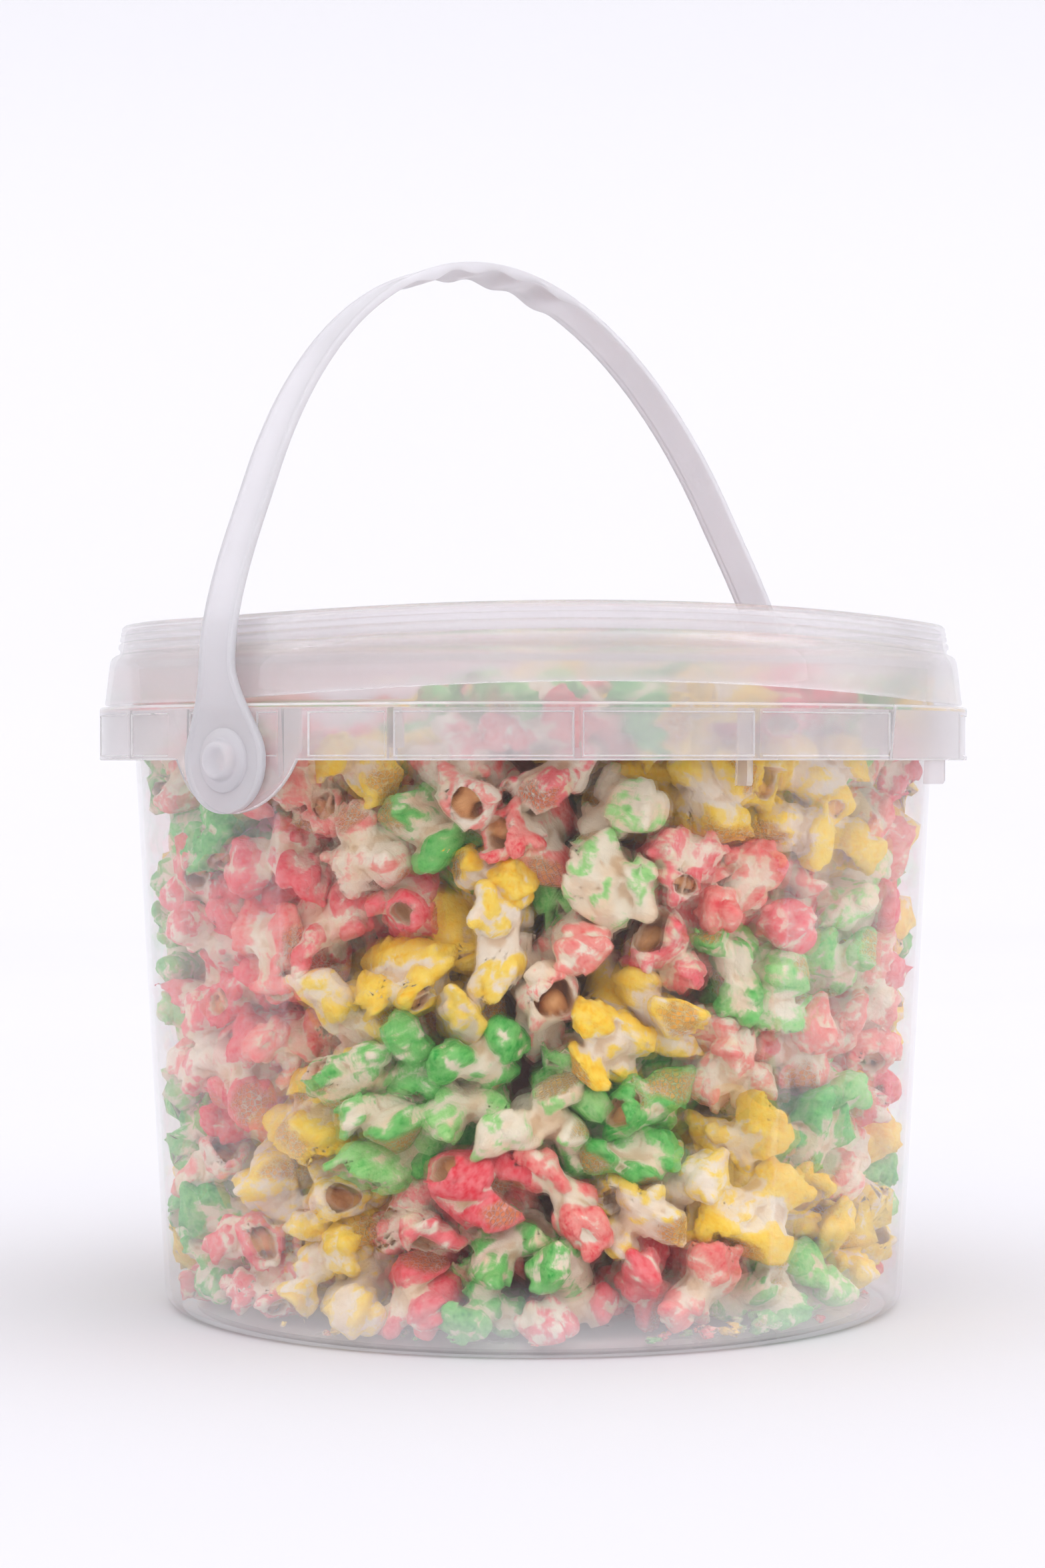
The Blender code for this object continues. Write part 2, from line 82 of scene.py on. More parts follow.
# Lid
LID_WALL = 1.1
LID_PANEL_TOP = 150.4
LID_RAISE = 4.0
LID_RAISE_ANGLE = math.radians(-131)
LID_RAISE_SPREAD = math.radians(62)
LID_FLEX_RADIUS = 70.0
LID_SKIRT_RADIUS = 98.8
PLUG_RADIUS = 91.4
PLUG_BOTTOM = 144.5

# Handle
STRAP_WIDTH = 9.5
STRAP_THICKNESS = 1.8
STRAP_LIP = 1.1
STRAP_CHANNEL = 0.45
HANDLE_REACH = 101.3
HANDLE_LEAN = math.radians(7.8)
LEG_TOP = 15.0
BEND_TOP = 62.5
ARCH_HALF_WIDTH = 102.4
ARCH_HALF_HEIGHT = 136.0
ARCH_DROP = 20.0
EAR_RADIUS = 11.3
EAR_TANGENT = math.radians(25)
NECK_TOP = 21.0
GRIP_WAVE = 15.5
GRIP_WAVES = 4
GRIP_DEPTH = 1.2

# Popcorn
HEAP_LOW = 129.0
HEAP_HIGH = 143.0
HEAP_CEILING = 148.6
HEAP_HIGH_ANGLE = math.radians(-50)
CORE_RADIUS = 54.0
CORE_DEPTH = 12.0  # of its top under that of the heap
GRID = ((100, 50), (100, 50), (80, 0))  # cells along each axis, and the cell at the origin
SHAPE_COUNT = 30
TRIANGLES = (3000, 1500, 700)  # of a flake near the front wall, at another wall or on top, and behind

# Flakes of one colour lie in groups: (angle in degrees, height) of each on the tub's wall
GREEN_GROUPS = (
    (159, 120), (-156, 106), (-128, 102), (-84, 120), (-80, 89), (-103, 75), (-164, 56),
    (-152, 50), (-168, 41), (-135, 54), (-128, 46), (-120, 48), (-83, 48), (-143, 16),
    (-91, 14), (156, 17),
)  # fmt: skip
YELLOW_GROUPS = (
    (-168, 123), (-145, 94), (-154, 73), (-175, 71), (-122, 71), (-112, 122), (-99, 120),
    (-85, 110), (176, 41), (-173, 23), (-123, 27), (-108, 36), (-94, 32), (-71, 22),
)  # fmt: skip


# ---------------------------------------------------------------- meshes


def link(obj):
    bpy.context.scene.collection.objects.link(obj)
    return obj


def smooth_mesh(mesh, sharp_angle):
    mesh.shade_smooth()
    mesh.set_sharp_from_angle(angle=math.radians(sharp_angle))


def grid_object(name, loops, closed, sharp_angle=32):
    """Closed mesh through equal loops of points in mm; closed joins the last loop to the first."""
    loops = np.asarray(loops, float) * MM
    count, size, _ = loops.shape
    bm = bmesh.new()
    rows = [[bm.verts.new(point) for point in loop] for loop in loops]
    pairs = list(zip(rows, rows[1:] + rows[:1])) if closed == "around" else list(zip(rows, rows[1:]))
    span = range(size - 1) if closed == "around" else range(size)
    for here, there in pairs:
        for k in span:
            after = (k + 1) % size
            bm.faces.new((here[k], here[after], there[after], there[k]))
    if closed != "around":
        bm.faces.new(rows[0])
        bm.faces.new(reversed(rows[-1]))
    bmesh.ops.remove_doubles(bm, verts=bm.verts, dist=2e-6)
    bmesh.ops.recalc_face_normals(bm, faces=bm.faces)
    mesh = bpy.data.meshes.new(name)
    bm.to_mesh(mesh)
    bm.free()
    smooth_mesh(mesh, sharp_angle)
    return link(bpy.data.objects.new(name, mesh))


def turned(name, columns, sharp_angle=32):
    """Mesh from (angle, [(radius, height), ...]) columns whose ends lie on the axis."""
    loops = [
        [(r * math.cos(angle), r * math.sin(angle), z) for r, z in profile]
        for angle, profile in columns
    ]
    return grid_object(name, loops, "around", sharp_angle)


def arc(centre, radius, start, end, steps):
    """Points on an arc in the (radius, height) plane, angles in degrees."""
    return [
        (centre[0] + radius * math.cos(t), centre[1] + radius * math.sin(t))
        for t in np.radians(np.linspace(start, end, steps))
    ]


def boolean(obj, other, operation, sharp_angle=32):
    """Cuts other away from obj, or joins it, and removes other."""
    modifier = obj.modifiers.new("cut", "BOOLEAN")
    modifier.object = other
    modifier.operation = operation
    modifier.solver = "EXACT"
    graph = bpy.context.evaluated_depsgraph_get()
    mesh = bpy.data.meshes.new_from_object(obj.evaluated_get(graph))
    obj.modifiers.clear()
    obj.data = mesh
    mesh.name = obj.name
    smooth_mesh(mesh, sharp_angle)
    bpy.data.objects.remove(other)


# ---------------------------------------------------------------- tub


def wall_radius(height):
    return FOOT_RADIUS + WALL_TAPER * height


def collar_bottom(angle):
    """Height of the collar's lower edge, which drops in a round tab at each pivot."""
    offset = abs(COLLAR_RADIUS * math.sin(angle))
    if offset >= TAB_RADIUS:
        return COLLAR_BOTTOM
    return min(COLLAR_BOTTOM, TAB_CENTRE_HEIGHT - math.sqrt(TAB_RADIUS**2 - offset**2))


def tub_profile(angle, rib, depth):
    """Section of the tub. rib is "", "short", "long" or "gusset"; depth is that of the panel."""
    under = COLLAR_TOP - COLLAR_WALL
    inside = COLLAR_RADIUS - COLLAR_WALL
    bottom = collar_bottom(angle)
    foot = bottom + 0.5
    if bottom < COLLAR_BOTTOM - 0.01:
        foot = max(foot, GUSSET_BOTTOM)
    outside = [(0, 0.8), (40, 0.8), (75, 0.8), (76.5, 0.6), (77.2, 0.15), (78.0, 0)]
    outside += arc((wall_radius(FOOT_CORNER) - FOOT_CORNER, FOOT_CORNER), FOOT_CORNER, -90, 0, 8)
    outside += [(wall_radius(z), z) for z in (8, 30, 60, 90, 110, LONG_RIB_BOTTOM)]
    wall_step = (wall_radius(RIB_STEP_HEIGHT), RIB_STEP_HEIGHT)
    between = {
        "": [wall_step, (wall_radius(under), under), (inside, under), (inside, foot)],
        "short": [
            wall_step,
            (RIB_STEP_RADIUS, RIB_STEP_HEIGHT),
            (RIB_STEP_RADIUS, foot),
            (inside, foot),
        ],
        "long": [
            (RIB_STEP_RADIUS - 0.5, LONG_RIB_BOTTOM),
            (RIB_STEP_RADIUS, LONG_RIB_BOTTOM + 0.8),
            (RIB_STEP_RADIUS, foot),
            (inside, foot),
        ],
        "gusset": [wall_step, (inside, foot), (inside, foot), (inside, foot)],
    }[rib]
    collar = [
        (inside, bottom + EDGE),
        (inside + 0.3 * EDGE, bottom + 0.3 * EDGE),
        (inside + EDGE, bottom),
        (COLLAR_RADIUS - EDGE, bottom),
        (COLLAR_RADIUS - 0.3 * EDGE, bottom + 0.3 * EDGE),
        (COLLAR_RADIUS, bottom + EDGE),
        (COLLAR_RADIUS, PANEL_BOTTOM - 0.15),
        (COLLAR_RADIUS - depth, PANEL_BOTTOM + 0.15),
        (COLLAR_RADIUS - depth, PANEL_TOP - 0.15),
        (COLLAR_RADIUS, PANEL_TOP + 0.15),
        *arc((COLLAR_RADIUS - 0.6, COLLAR_TOP - 0.6), 0.6, 0, 90, 4),
        (wall_radius(COLLAR_TOP) + 0.8, COLLAR_TOP),
        (wall_radius(COLLAR_TOP) + 0.15, COLLAR_TOP + 0.2),
        (wall_radius(COLLAR_TOP + 0.8), COLLAR_TOP + 0.8),
    ]
    rim = wall_radius(RIM_TOP)
    rim_edge = [
        (wall_radius(145.5), 145.5),
        (rim + 0.7, 146.4),
        (rim + 0.9, 147.0),
        (rim + 0.7, 147.7),
        (rim, RIM_TOP - 0.2),
        (rim - 0.4, RIM_TOP),
        (rim - WALL + 0.3, RIM_TOP),
        (rim - WALL, RIM_TOP - 0.3),
    ]
    inner = [(wall_radius(z) - WALL, z) for z in (120, 90, 60, 30, 8)]
    corner = FOOT_CORNER - WALL
    inner += arc((wall_radius(FOOT_CORNER) - FOOT_CORNER, FOOT_CORNER), corner, 0, -90, 6)
    return [*outside, *between, *collar, *rim_edge, *inner, (78, WALL + 0.1), (76, 1.9), (0, 1.9)]


def panel_span(bay):
    """First and last angle of the panel between two ribs."""
    pitch = math.tau / RIB_COUNT
    start, end = bay * pitch + PANEL_FRAME_ANGLE, (bay + 1) * pitch - PANEL_FRAME_ANGLE
    if bay in (0, 8):
        start = bay * pitch + PIVOT_FRAME_ANGLE
    if bay + 1 in (8, RIB_COUNT):
        end = (bay + 1) * pitch - PIVOT_FRAME_ANGLE
    return start, end


def tub_columns():
    """Columns round the tub, doubled where a rib or a panel starts and ends."""
    ribs = [(math.tau * i / RIB_COUNT, "long" if i in LONG_RIBS else "short") for i in range(RIB_COUNT)]
    ribs = [rib for i, rib in enumerate(ribs) if i not in (0, 8)]
    ribs += [(p + side * GUSSET_ANGLE, "gusset") for p in (0, math.pi) for side in (-1, 1)]
    panels = [panel_span(bay) for bay in range(RIB_COUNT) if bay != TEAR_BAY]
    small = math.radians(4.5), GUSSET_ANGLE - 1.2 * RIB_HALF_ANGLE
    panels += [(p + s, p + e) for p in (0, math.pi) for s, e in (small, (-small[1], -small[0]))]
    bevel = 0.25 / COLLAR_RADIUS

    def depth_at(angle):
        turned_angle = angle % math.tau
        for start, end in panels:
            for turn in (0, math.tau):
                if start - 1e-9 <= turned_angle - turn <= end + 1e-9:
                    return PANEL_DEPTH
        return 0.0

    stops = []
    for angle, kind in ruled_ribs(ribs):
        for order, edge, rib in ((0, -1, ""), (1, -1, kind), (2, 1, kind), (3, 1, "")):
            stops.append((angle + edge * RIB_HALF_ANGLE, order, rib, 0.0))
    for start, end in panels:
        stops += [(start - bevel, 0, "", 0.0), (start, 0, "", PANEL_DEPTH)]
        stops += [(end, 0, "", PANEL_DEPTH), (end + bevel, 0, "", 0.0)]
    taken = np.array([angle % math.tau for angle, *_ in stops])
    fine = np.radians(np.arange(-11, 11.01, 0.4))
    for angle in [*np.linspace(0, math.tau, 300, endpoint=False), *fine, *(fine + math.pi)]:
        turned_angle = angle % math.tau
        if np.abs(taken - turned_angle).min() > math.radians(0.15):
            stops.append((turned_angle, 0, "", depth_at(turned_angle)))
    stops = sorted(((angle % math.tau, order, rib, depth) for angle, order, rib, depth in stops))
    return [(angle, tub_profile(angle, rib, depth)) for angle, order, rib, depth in stops]


def ruled_ribs(ribs):
    return [(angle % math.tau, kind) for angle, kind in ribs]


def round_cutter(radius, centre, depth, axis):
    bm = bmesh.new()
    turn = Matrix.Rotation(math.pi / 2, 4, axis)
    bmesh.ops.create_cone(
        bm,
        cap_ends=True,
        segments=48,
        radius1=radius * MM,
        radius2=radius * MM,
        depth=depth * MM,
        matrix=Matrix.Translation(Vector(centre) * MM) @ turn,
    )
    mesh = bpy.data.meshes.new("cutter")
    bm.to_mesh(mesh)
    bm.free()
    return link(bpy.data.objects.new("cutter", mesh))


def tear_cutter():
    """Slanted slot between the collar and its tear-off tab."""
    bm = bmesh.new()
    slant = Matrix.Rotation(math.radians(9), 4, "Y")
    place = Matrix.Translation(Vector((0, -COLLAR_RADIUS, 131)) * MM) @ slant
    bmesh.ops.create_cube(bm, size=1, matrix=place @ Matrix.Diagonal((0.0008, 0.0012, 0.02, 1)))
    mesh = bpy.data.meshes.new("cutter")
    bm.to_mesh(mesh)
    bm.free()
    return link(bpy.data.objects.new("cutter", mesh))


def make_tub(clear, hazy, milky, cloudy):
    tub = turned("tub_clear", tub_columns())
    for side in (-1, 1):
        centre = (side * (COLLAR_RADIUS - COLLAR_WALL / 2), 0, PIVOT_HEIGHT)
        boolean(tub, round_cutter(PIVOT_HOLE_RADIUS, centre, 5, "Y"), "DIFFERENCE")
    boolean(tub, tear_cutter(), "DIFFERENCE")
    tub.data.materials.clear()
    for material in (clear, hazy, milky, cloudy):
        tub.data.materials.append(material)
    for face in tub.data.polygons:
        x, y, z = face.center / MM
        reach, lip = math.hypot(x, y), collar_bottom(math.atan2(y, x)) + EDGE
        on_collar = z > COLLAR_TOP - 2 or z > 110 and reach > wall_radius(z) + 0.9
        bevel = PANEL_BOTTOM - 0.5 < z < PANEL_TOP + 0.5 and 99.65 < reach < 99.97
        edge = z > 110 and reach > 98.7 and z < lip
        base = z < 2.0 and reach < 79.5
        rim = z > COLLAR_TOP + 0.5 or on_collar and z > PANEL_TOP + 0.8
        face.material_index = 2 if bevel or edge or base else 3 if rim else int(on_collar)
    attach(tub, "bucket")
    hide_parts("tub")


# ---------------------------------------------------------------- lid


def lid_lift(radius, angle):
    """How far the lid stands above its seat: most at its edge, on one side."""
    turned_angle = math.remainder(angle - LID_RAISE_ANGLE, math.tau) / LID_RAISE_SPREAD
    if radius <= LID_FLEX_RADIUS or abs(turned_angle) >= 1:
        return 0.0
    flex = (radius - LID_FLEX_RADIUS) / (LID_SKIRT_RADIUS - LID_FLEX_RADIUS)
    return LID_RAISE * (1 - turned_angle**2) ** 2 * flex**3


def lid_profile(angle):
    top, wall = LID_PANEL_TOP, LID_WALL
    outside = [
        (0, top - 0.25),
        (17.4, top - 0.25),
        (18, top - 0.22),
        (18.4, top - 0.03),
        (19, top),
        (50, top),
        (LID_FLEX_RADIUS, top),
        (80, top),
        (89.5, top),
        (91.0, top + 0.15),
        (91.9, top + 0.9),
        (92.3, top + 2.0),
        (92.5, 154.6),
        (92.7, 155.3),
        (93.1, 155.65),
        (93.7, 155.7),
        (94.4, 155.55),
        (94.85, 155.1),
        (95.0, 154.75),
        (94.85, 154.45),
        (95.1, 154.1),
        (95.15, 153.5),
        (94.95, 153.2),
        (95.3, 152.9),
        (95.35, 152.3),
        (95.1, 152.0),
        (95.1, 151.7),
        (95.55, 151.4),
        (95.75, 151.0),
        (95.75, 150.5),
        (95.35, 150.1),
        (95.3, 149.5),
        (95.7, 149.0),
        (96.5, 148.7),
        (97.2, 148.2),
        (97.6, 147.3),
        (97.8, 146.0),
        (98.1, 143.6),
        (98.4, 141.0),
        (98.6, 139.2),
        (98.75, 138.4),
        (98.8, 137.8),
        (98.6, 137.5),
    ]
    inside = [
        (98.0, 137.5),
        (97.75, 137.8),
        (97.5, 139.5),
        (96.9, 144.0),
        (96.6, 146.0),
        (96.1, 147.6),
        (95.2, 148.8),
        (94.75, 150.0),
        (94.4, 152.0),
        (94.1, 154.0),
        (93.8, 154.5),
        (93.6, 154.4),
        (93.6, 150.5),
        (93.4, 149.4),
        (92.4, 149.3),
        (PLUG_RADIUS, 148.9),
        (PLUG_RADIUS, 147.0),
        (PLUG_RADIUS - 0.4, PLUG_BOTTOM + 0.2),
        (PLUG_RADIUS - 0.7, PLUG_BOTTOM),
        (PLUG_RADIUS - wall, PLUG_BOTTOM + 0.3),
        (PLUG_RADIUS - wall, 148.8),
        (PLUG_RADIUS - wall - 0.5, top - wall),
        (80, top - wall),
        (LID_FLEX_RADIUS, top - wall),
        (50, top - wall),
        (0, top - wall),
    ]
    return [(r, z + lid_lift(r, angle)) for r, z in outside + inside]


def make_lid(material):
    angles = np.linspace(0, math.tau, 288, endpoint=False)
    lid = turned("lid_frosted", [(angle, lid_profile(angle)) for angle in angles], 50)
    lid.data.materials.append(material)
    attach(lid, "bucket")
    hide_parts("lid")


# ---------------------------------------------------------------- handle


def ease(value, start, end, at_start, at_end, slope_start, slope_end):
    """Cubic curve from at_start to at_end with the given slopes at its ends."""
    span = end - start
    t = (value - start) / span
    return (
        at_start * (2 * t**3 - 3 * t**2 + 1)
        + span * slope_start * (t**3 - 2 * t**2 + t)
        + at_end * (3 * t**2 - 2 * t**3)
        + span * slope_end * (t**3 - t**2)
    )


def ellipse_reach(height):
    return ARCH_HALF_WIDTH * math.sqrt(1 - ((height + ARCH_DROP) / ARCH_HALF_HEIGHT) ** 2)


def arch_reach(height):
    """Distance of the strap's middle from the tub's axis, at a height above the pivots."""
    if height <= LEG_TOP:
        return HANDLE_REACH
    if height >= BEND_TOP:
        return ellipse_reach(height)
    root = math.sqrt(1 - ((BEND_TOP + ARCH_DROP) / ARCH_HALF_HEIGHT) ** 2)
    slope = -ARCH_HALF_WIDTH * (BEND_TOP + ARCH_DROP) / (ARCH_HALF_HEIGHT**2 * root)
    return ease(height, LEG_TOP, BEND_TOP, HANDLE_REACH, ellipse_reach(BEND_TOP), 0, slope)


def arch_path():
    """Fine path from pivot to apex: arc length, reach and height."""
    first = math.asin((BEND_TOP + ARCH_DROP) / ARCH_HALF_HEIGHT)
    heights = list(np.linspace(0, BEND_TOP, 160))
    reaches = [arch_reach(h) for h in heights]
    for angle in np.linspace(first, math.pi / 2, 320)[1:]:
        heights.append(ARCH_HALF_HEIGHT * math.sin(angle) - ARCH_DROP)
        reaches.append(ARCH_HALF_WIDTH * math.cos(angle))
    lengths = np.concatenate(([0], np.cumsum(np.hypot(np.diff(reaches), np.diff(heights)))))
    return lengths, np.array(reaches), np.array(heights)


def strap_half_width(height):
    if height >= NECK_TOP:
        return STRAP_WIDTH / 2
    tangent_height = EAR_RADIUS * math.sin(EAR_TANGENT)
    tangent_width = EAR_RADIUS * math.cos(EAR_TANGENT)
    slope = -math.tan(EAR_TANGENT)
    return ease(height, tangent_height, NECK_TOP, tangent_width, STRAP_WIDTH / 2, slope, 0)


def grip_depth(from_apex):
    if abs(from_apex) >= GRIP_WAVE * GRIP_WAVES / 2:
        return 0.0
    return GRIP_DEPTH * math.sin(math.pi * from_apex / GRIP_WAVE) ** 2


def strap_section(half_width, grip):
    """(across, outwards) points round the strap: rounded edges and two raised lips outside."""
    half = STRAP_THICKNESS / 2
    edge = min(0.35, 0.2 * half_width)
    lip = min(STRAP_LIP, 0.4 * half_width)
    inner = half_width - lip - min(STRAP_CHANNEL, 0.2 * half_width)
    right = [
        (half_width - edge, -half - grip),
        (half_width - 0.3 * edge, -half - grip + 0.3 * edge),
        (half_width, -half - grip + edge),
        (half_width, half - edge),
        (half_width - 0.3 * edge, half - 0.3 * edge),
        (half_width - edge, half),
        (half_width - lip + 0.2 * edge, half),
        (half_width - lip, half - 0.15 * edge),
        (inner, half - STRAP_CHANNEL),
        (0.4 * inner, half - STRAP_CHANNEL),
    ]
    return right + [(-u, v) for u, v in reversed(right)]


def strap_loops():
    lengths, reaches, heights = arch_path()
    stations = []
    for angle in np.linspace(math.radians(-88), EAR_TANGENT, 22)[:-1]:
        height = EAR_RADIUS * math.sin(angle)
        stations.append((HANDLE_REACH, height, math.pi / 2, EAR_RADIUS * math.cos(angle), 0.0))
    for stop in np.linspace(EAR_RADIUS * math.sin(EAR_TANGENT), lengths[-1], 120):
        reach = np.interp(stop, lengths, reaches)
        height = np.interp(stop, lengths, heights)
        k = min(max(np.searchsorted(lengths, stop), 1), len(lengths) - 1)
        slant = math.atan2(heights[k] - heights[k - 1], reaches[k] - reaches[k - 1])
        width, grip = strap_half_width(height), grip_depth(lengths[-1] - stop)
        stations.append((reach, height, slant, width, grip))
    x, height, slant, width, grip = stations[-1]
    stations[-1] = (0.0, height, math.pi, width, grip)
    loops = []
    for side, legs in ((1, stations), (-1, stations[-2::-1])):
        for x, height, slant, width, grip in legs:
            outward = (side * math.sin(slant), -math.cos(slant))
            loops.append(
                [
                    (side * x + outward[0] * v, u, height + outward[1] * v)
                    for u, v in strap_section(width, grip)
                ]
            )
    return loops


def stud_profile():
    """(distance from the pivot axis, distance from the tub's axis), with a ringed button outside."""
    face = HANDLE_REACH + STRAP_THICKNESS / 2 - STRAP_CHANNEL
    behind = COLLAR_RADIUS - COLLAR_WALL - 0.3
    button = [
        (0, face + 2.7),
        (2.5, face + 2.7),
        (2.9, face + 2.95),
        (3.4, face + 3.0),
        (3.8, face + 2.75),
        (4.1, face + 2.1),
        (4.5, face + 1.3),
        (4.9, face + 1.0),
        (5.7, face + 0.95),
        (6.0, face + 0.7),
        (6.5, face + 0.55),
        (6.8, face + 0.3),
        (6.9, face),
        (6.9, HANDLE_REACH),
    ]
    pin = [(3.6, HANDLE_REACH), (3.6, behind), (4.4, behind - 0.3), (4.4, behind - 0.6), (3.5, behind - 3)]
    return [*button, *pin, (0, behind - 3)]


def make_handle(material):
    """Strap and studs as one moulding, leant over about the pivots."""
    handle = grid_object("handle_milky", strap_loops(), "ends", 40)
    for side in (-1, 1):
        loops = [
            [(side * x, r * math.cos(a), side * r * math.sin(a)) for r, x in stud_profile()]
            for a in np.linspace(0, math.tau, 48, endpoint=False)
        ]
        boolean(handle, grid_object("stud", loops, "around"), "UNION", 40)
    lean = Matrix.Rotation(-HANDLE_LEAN, 4, "X")
    handle.data.transform(Matrix.Translation((0, 0, PIVOT_HEIGHT * MM)) @ lean)
    handle.data.materials.clear()
    handle.data.materials.append(material)
    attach(handle, "handle")
    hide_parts("handle")


# ---------------------------------------------------------------- flakes


def unit(vectors):
    return vectors / np.linalg.norm(vectors, axis=-1, keepdims=True)


def smooth_step(value, low, high):
    t = np.clip((value - low) / (high - low), 0, 1)
    return t * t * (3 - 2 * t)


class Waves:
    """Smooth random field between about -1 and 1: sine waves in random directions."""

    def __init__(self, rng, wavelength, count=7):
        directions = unit(rng.normal(size=(count, 3)))
        lengths = wavelength * rng.uniform(0.7, 1.5, (count, 1))
        self.waves = directions * math.tau / lengths
        self.phases = rng.uniform(0, math.tau, count)

    def __call__(self, points):
        return np.sin(points @ self.waves.T + self.phases).mean(axis=1) * 1.7


def blend_min(a, b, size):
    """Union of two distances with a fillet of that size."""
    h = np.clip(0.5 + 0.5 * (b - a) / size, 0, 1)
    return b + (a - b) * h - size * h * (1 - h)


def blend_max(a, b, size):
    return -blend_min(-a, -b, size)


def ball(points, centre, radius):
    return np.linalg.norm(points - centre, axis=1) - radius


def egg(points, centre, radii, turn):
    """Approximate distance to an ellipsoid whose axes are turn's columns."""
    local = (points - centre) @ turn
    scaled = np.linalg.norm(local / radii, axis=1)
    return scaled * (scaled - 1) / np.maximum(np.linalg.norm(local / radii**2, axis=1), 1e-6)


def stem(points, start, end, radius_start, radius_end):
    along = end - start
    t = np.clip((points - start) @ along / (along @ along), 0, 1)
    near = start + t[:, None] * along
    return np.linalg.norm(points - near, axis=1) - (radius_start + t * (radius_end - radius_start))


def ring(points, centre, turn, big, small):
    local = (points - centre) @ turn
    return np.hypot(np.hypot(local[:, 0], local[:, 1]) - big, local[:, 2]) - small


def random_turn(rng):
    matrix, _ = np.linalg.qr(rng.normal(size=(3, 3)))
    return matrix * np.sign(np.linalg.det(matrix))


def turn_towards(rng, direction):
    """Random rotation whose third axis is direction."""
    across = unit(np.cross(direction, rng.normal(size=3)))
    return np.stack([across, np.cross(direction, across), direction], axis=1)


def spread_directions(rng, count):
    """Directions that keep apart from each other."""
    directions = unit(rng.normal(size=(count, 3)))
    for _ in range(30):
        apart = directions[:, None] - directions[None]
        push = (apart / (np.linalg.norm(apart, axis=2, keepdims=True) ** 3 + 0.1)).sum(axis=1)
        directions = unit(directions + 0.1 * push + 0.02 * rng.normal(size=(count, 3)))
    return directions


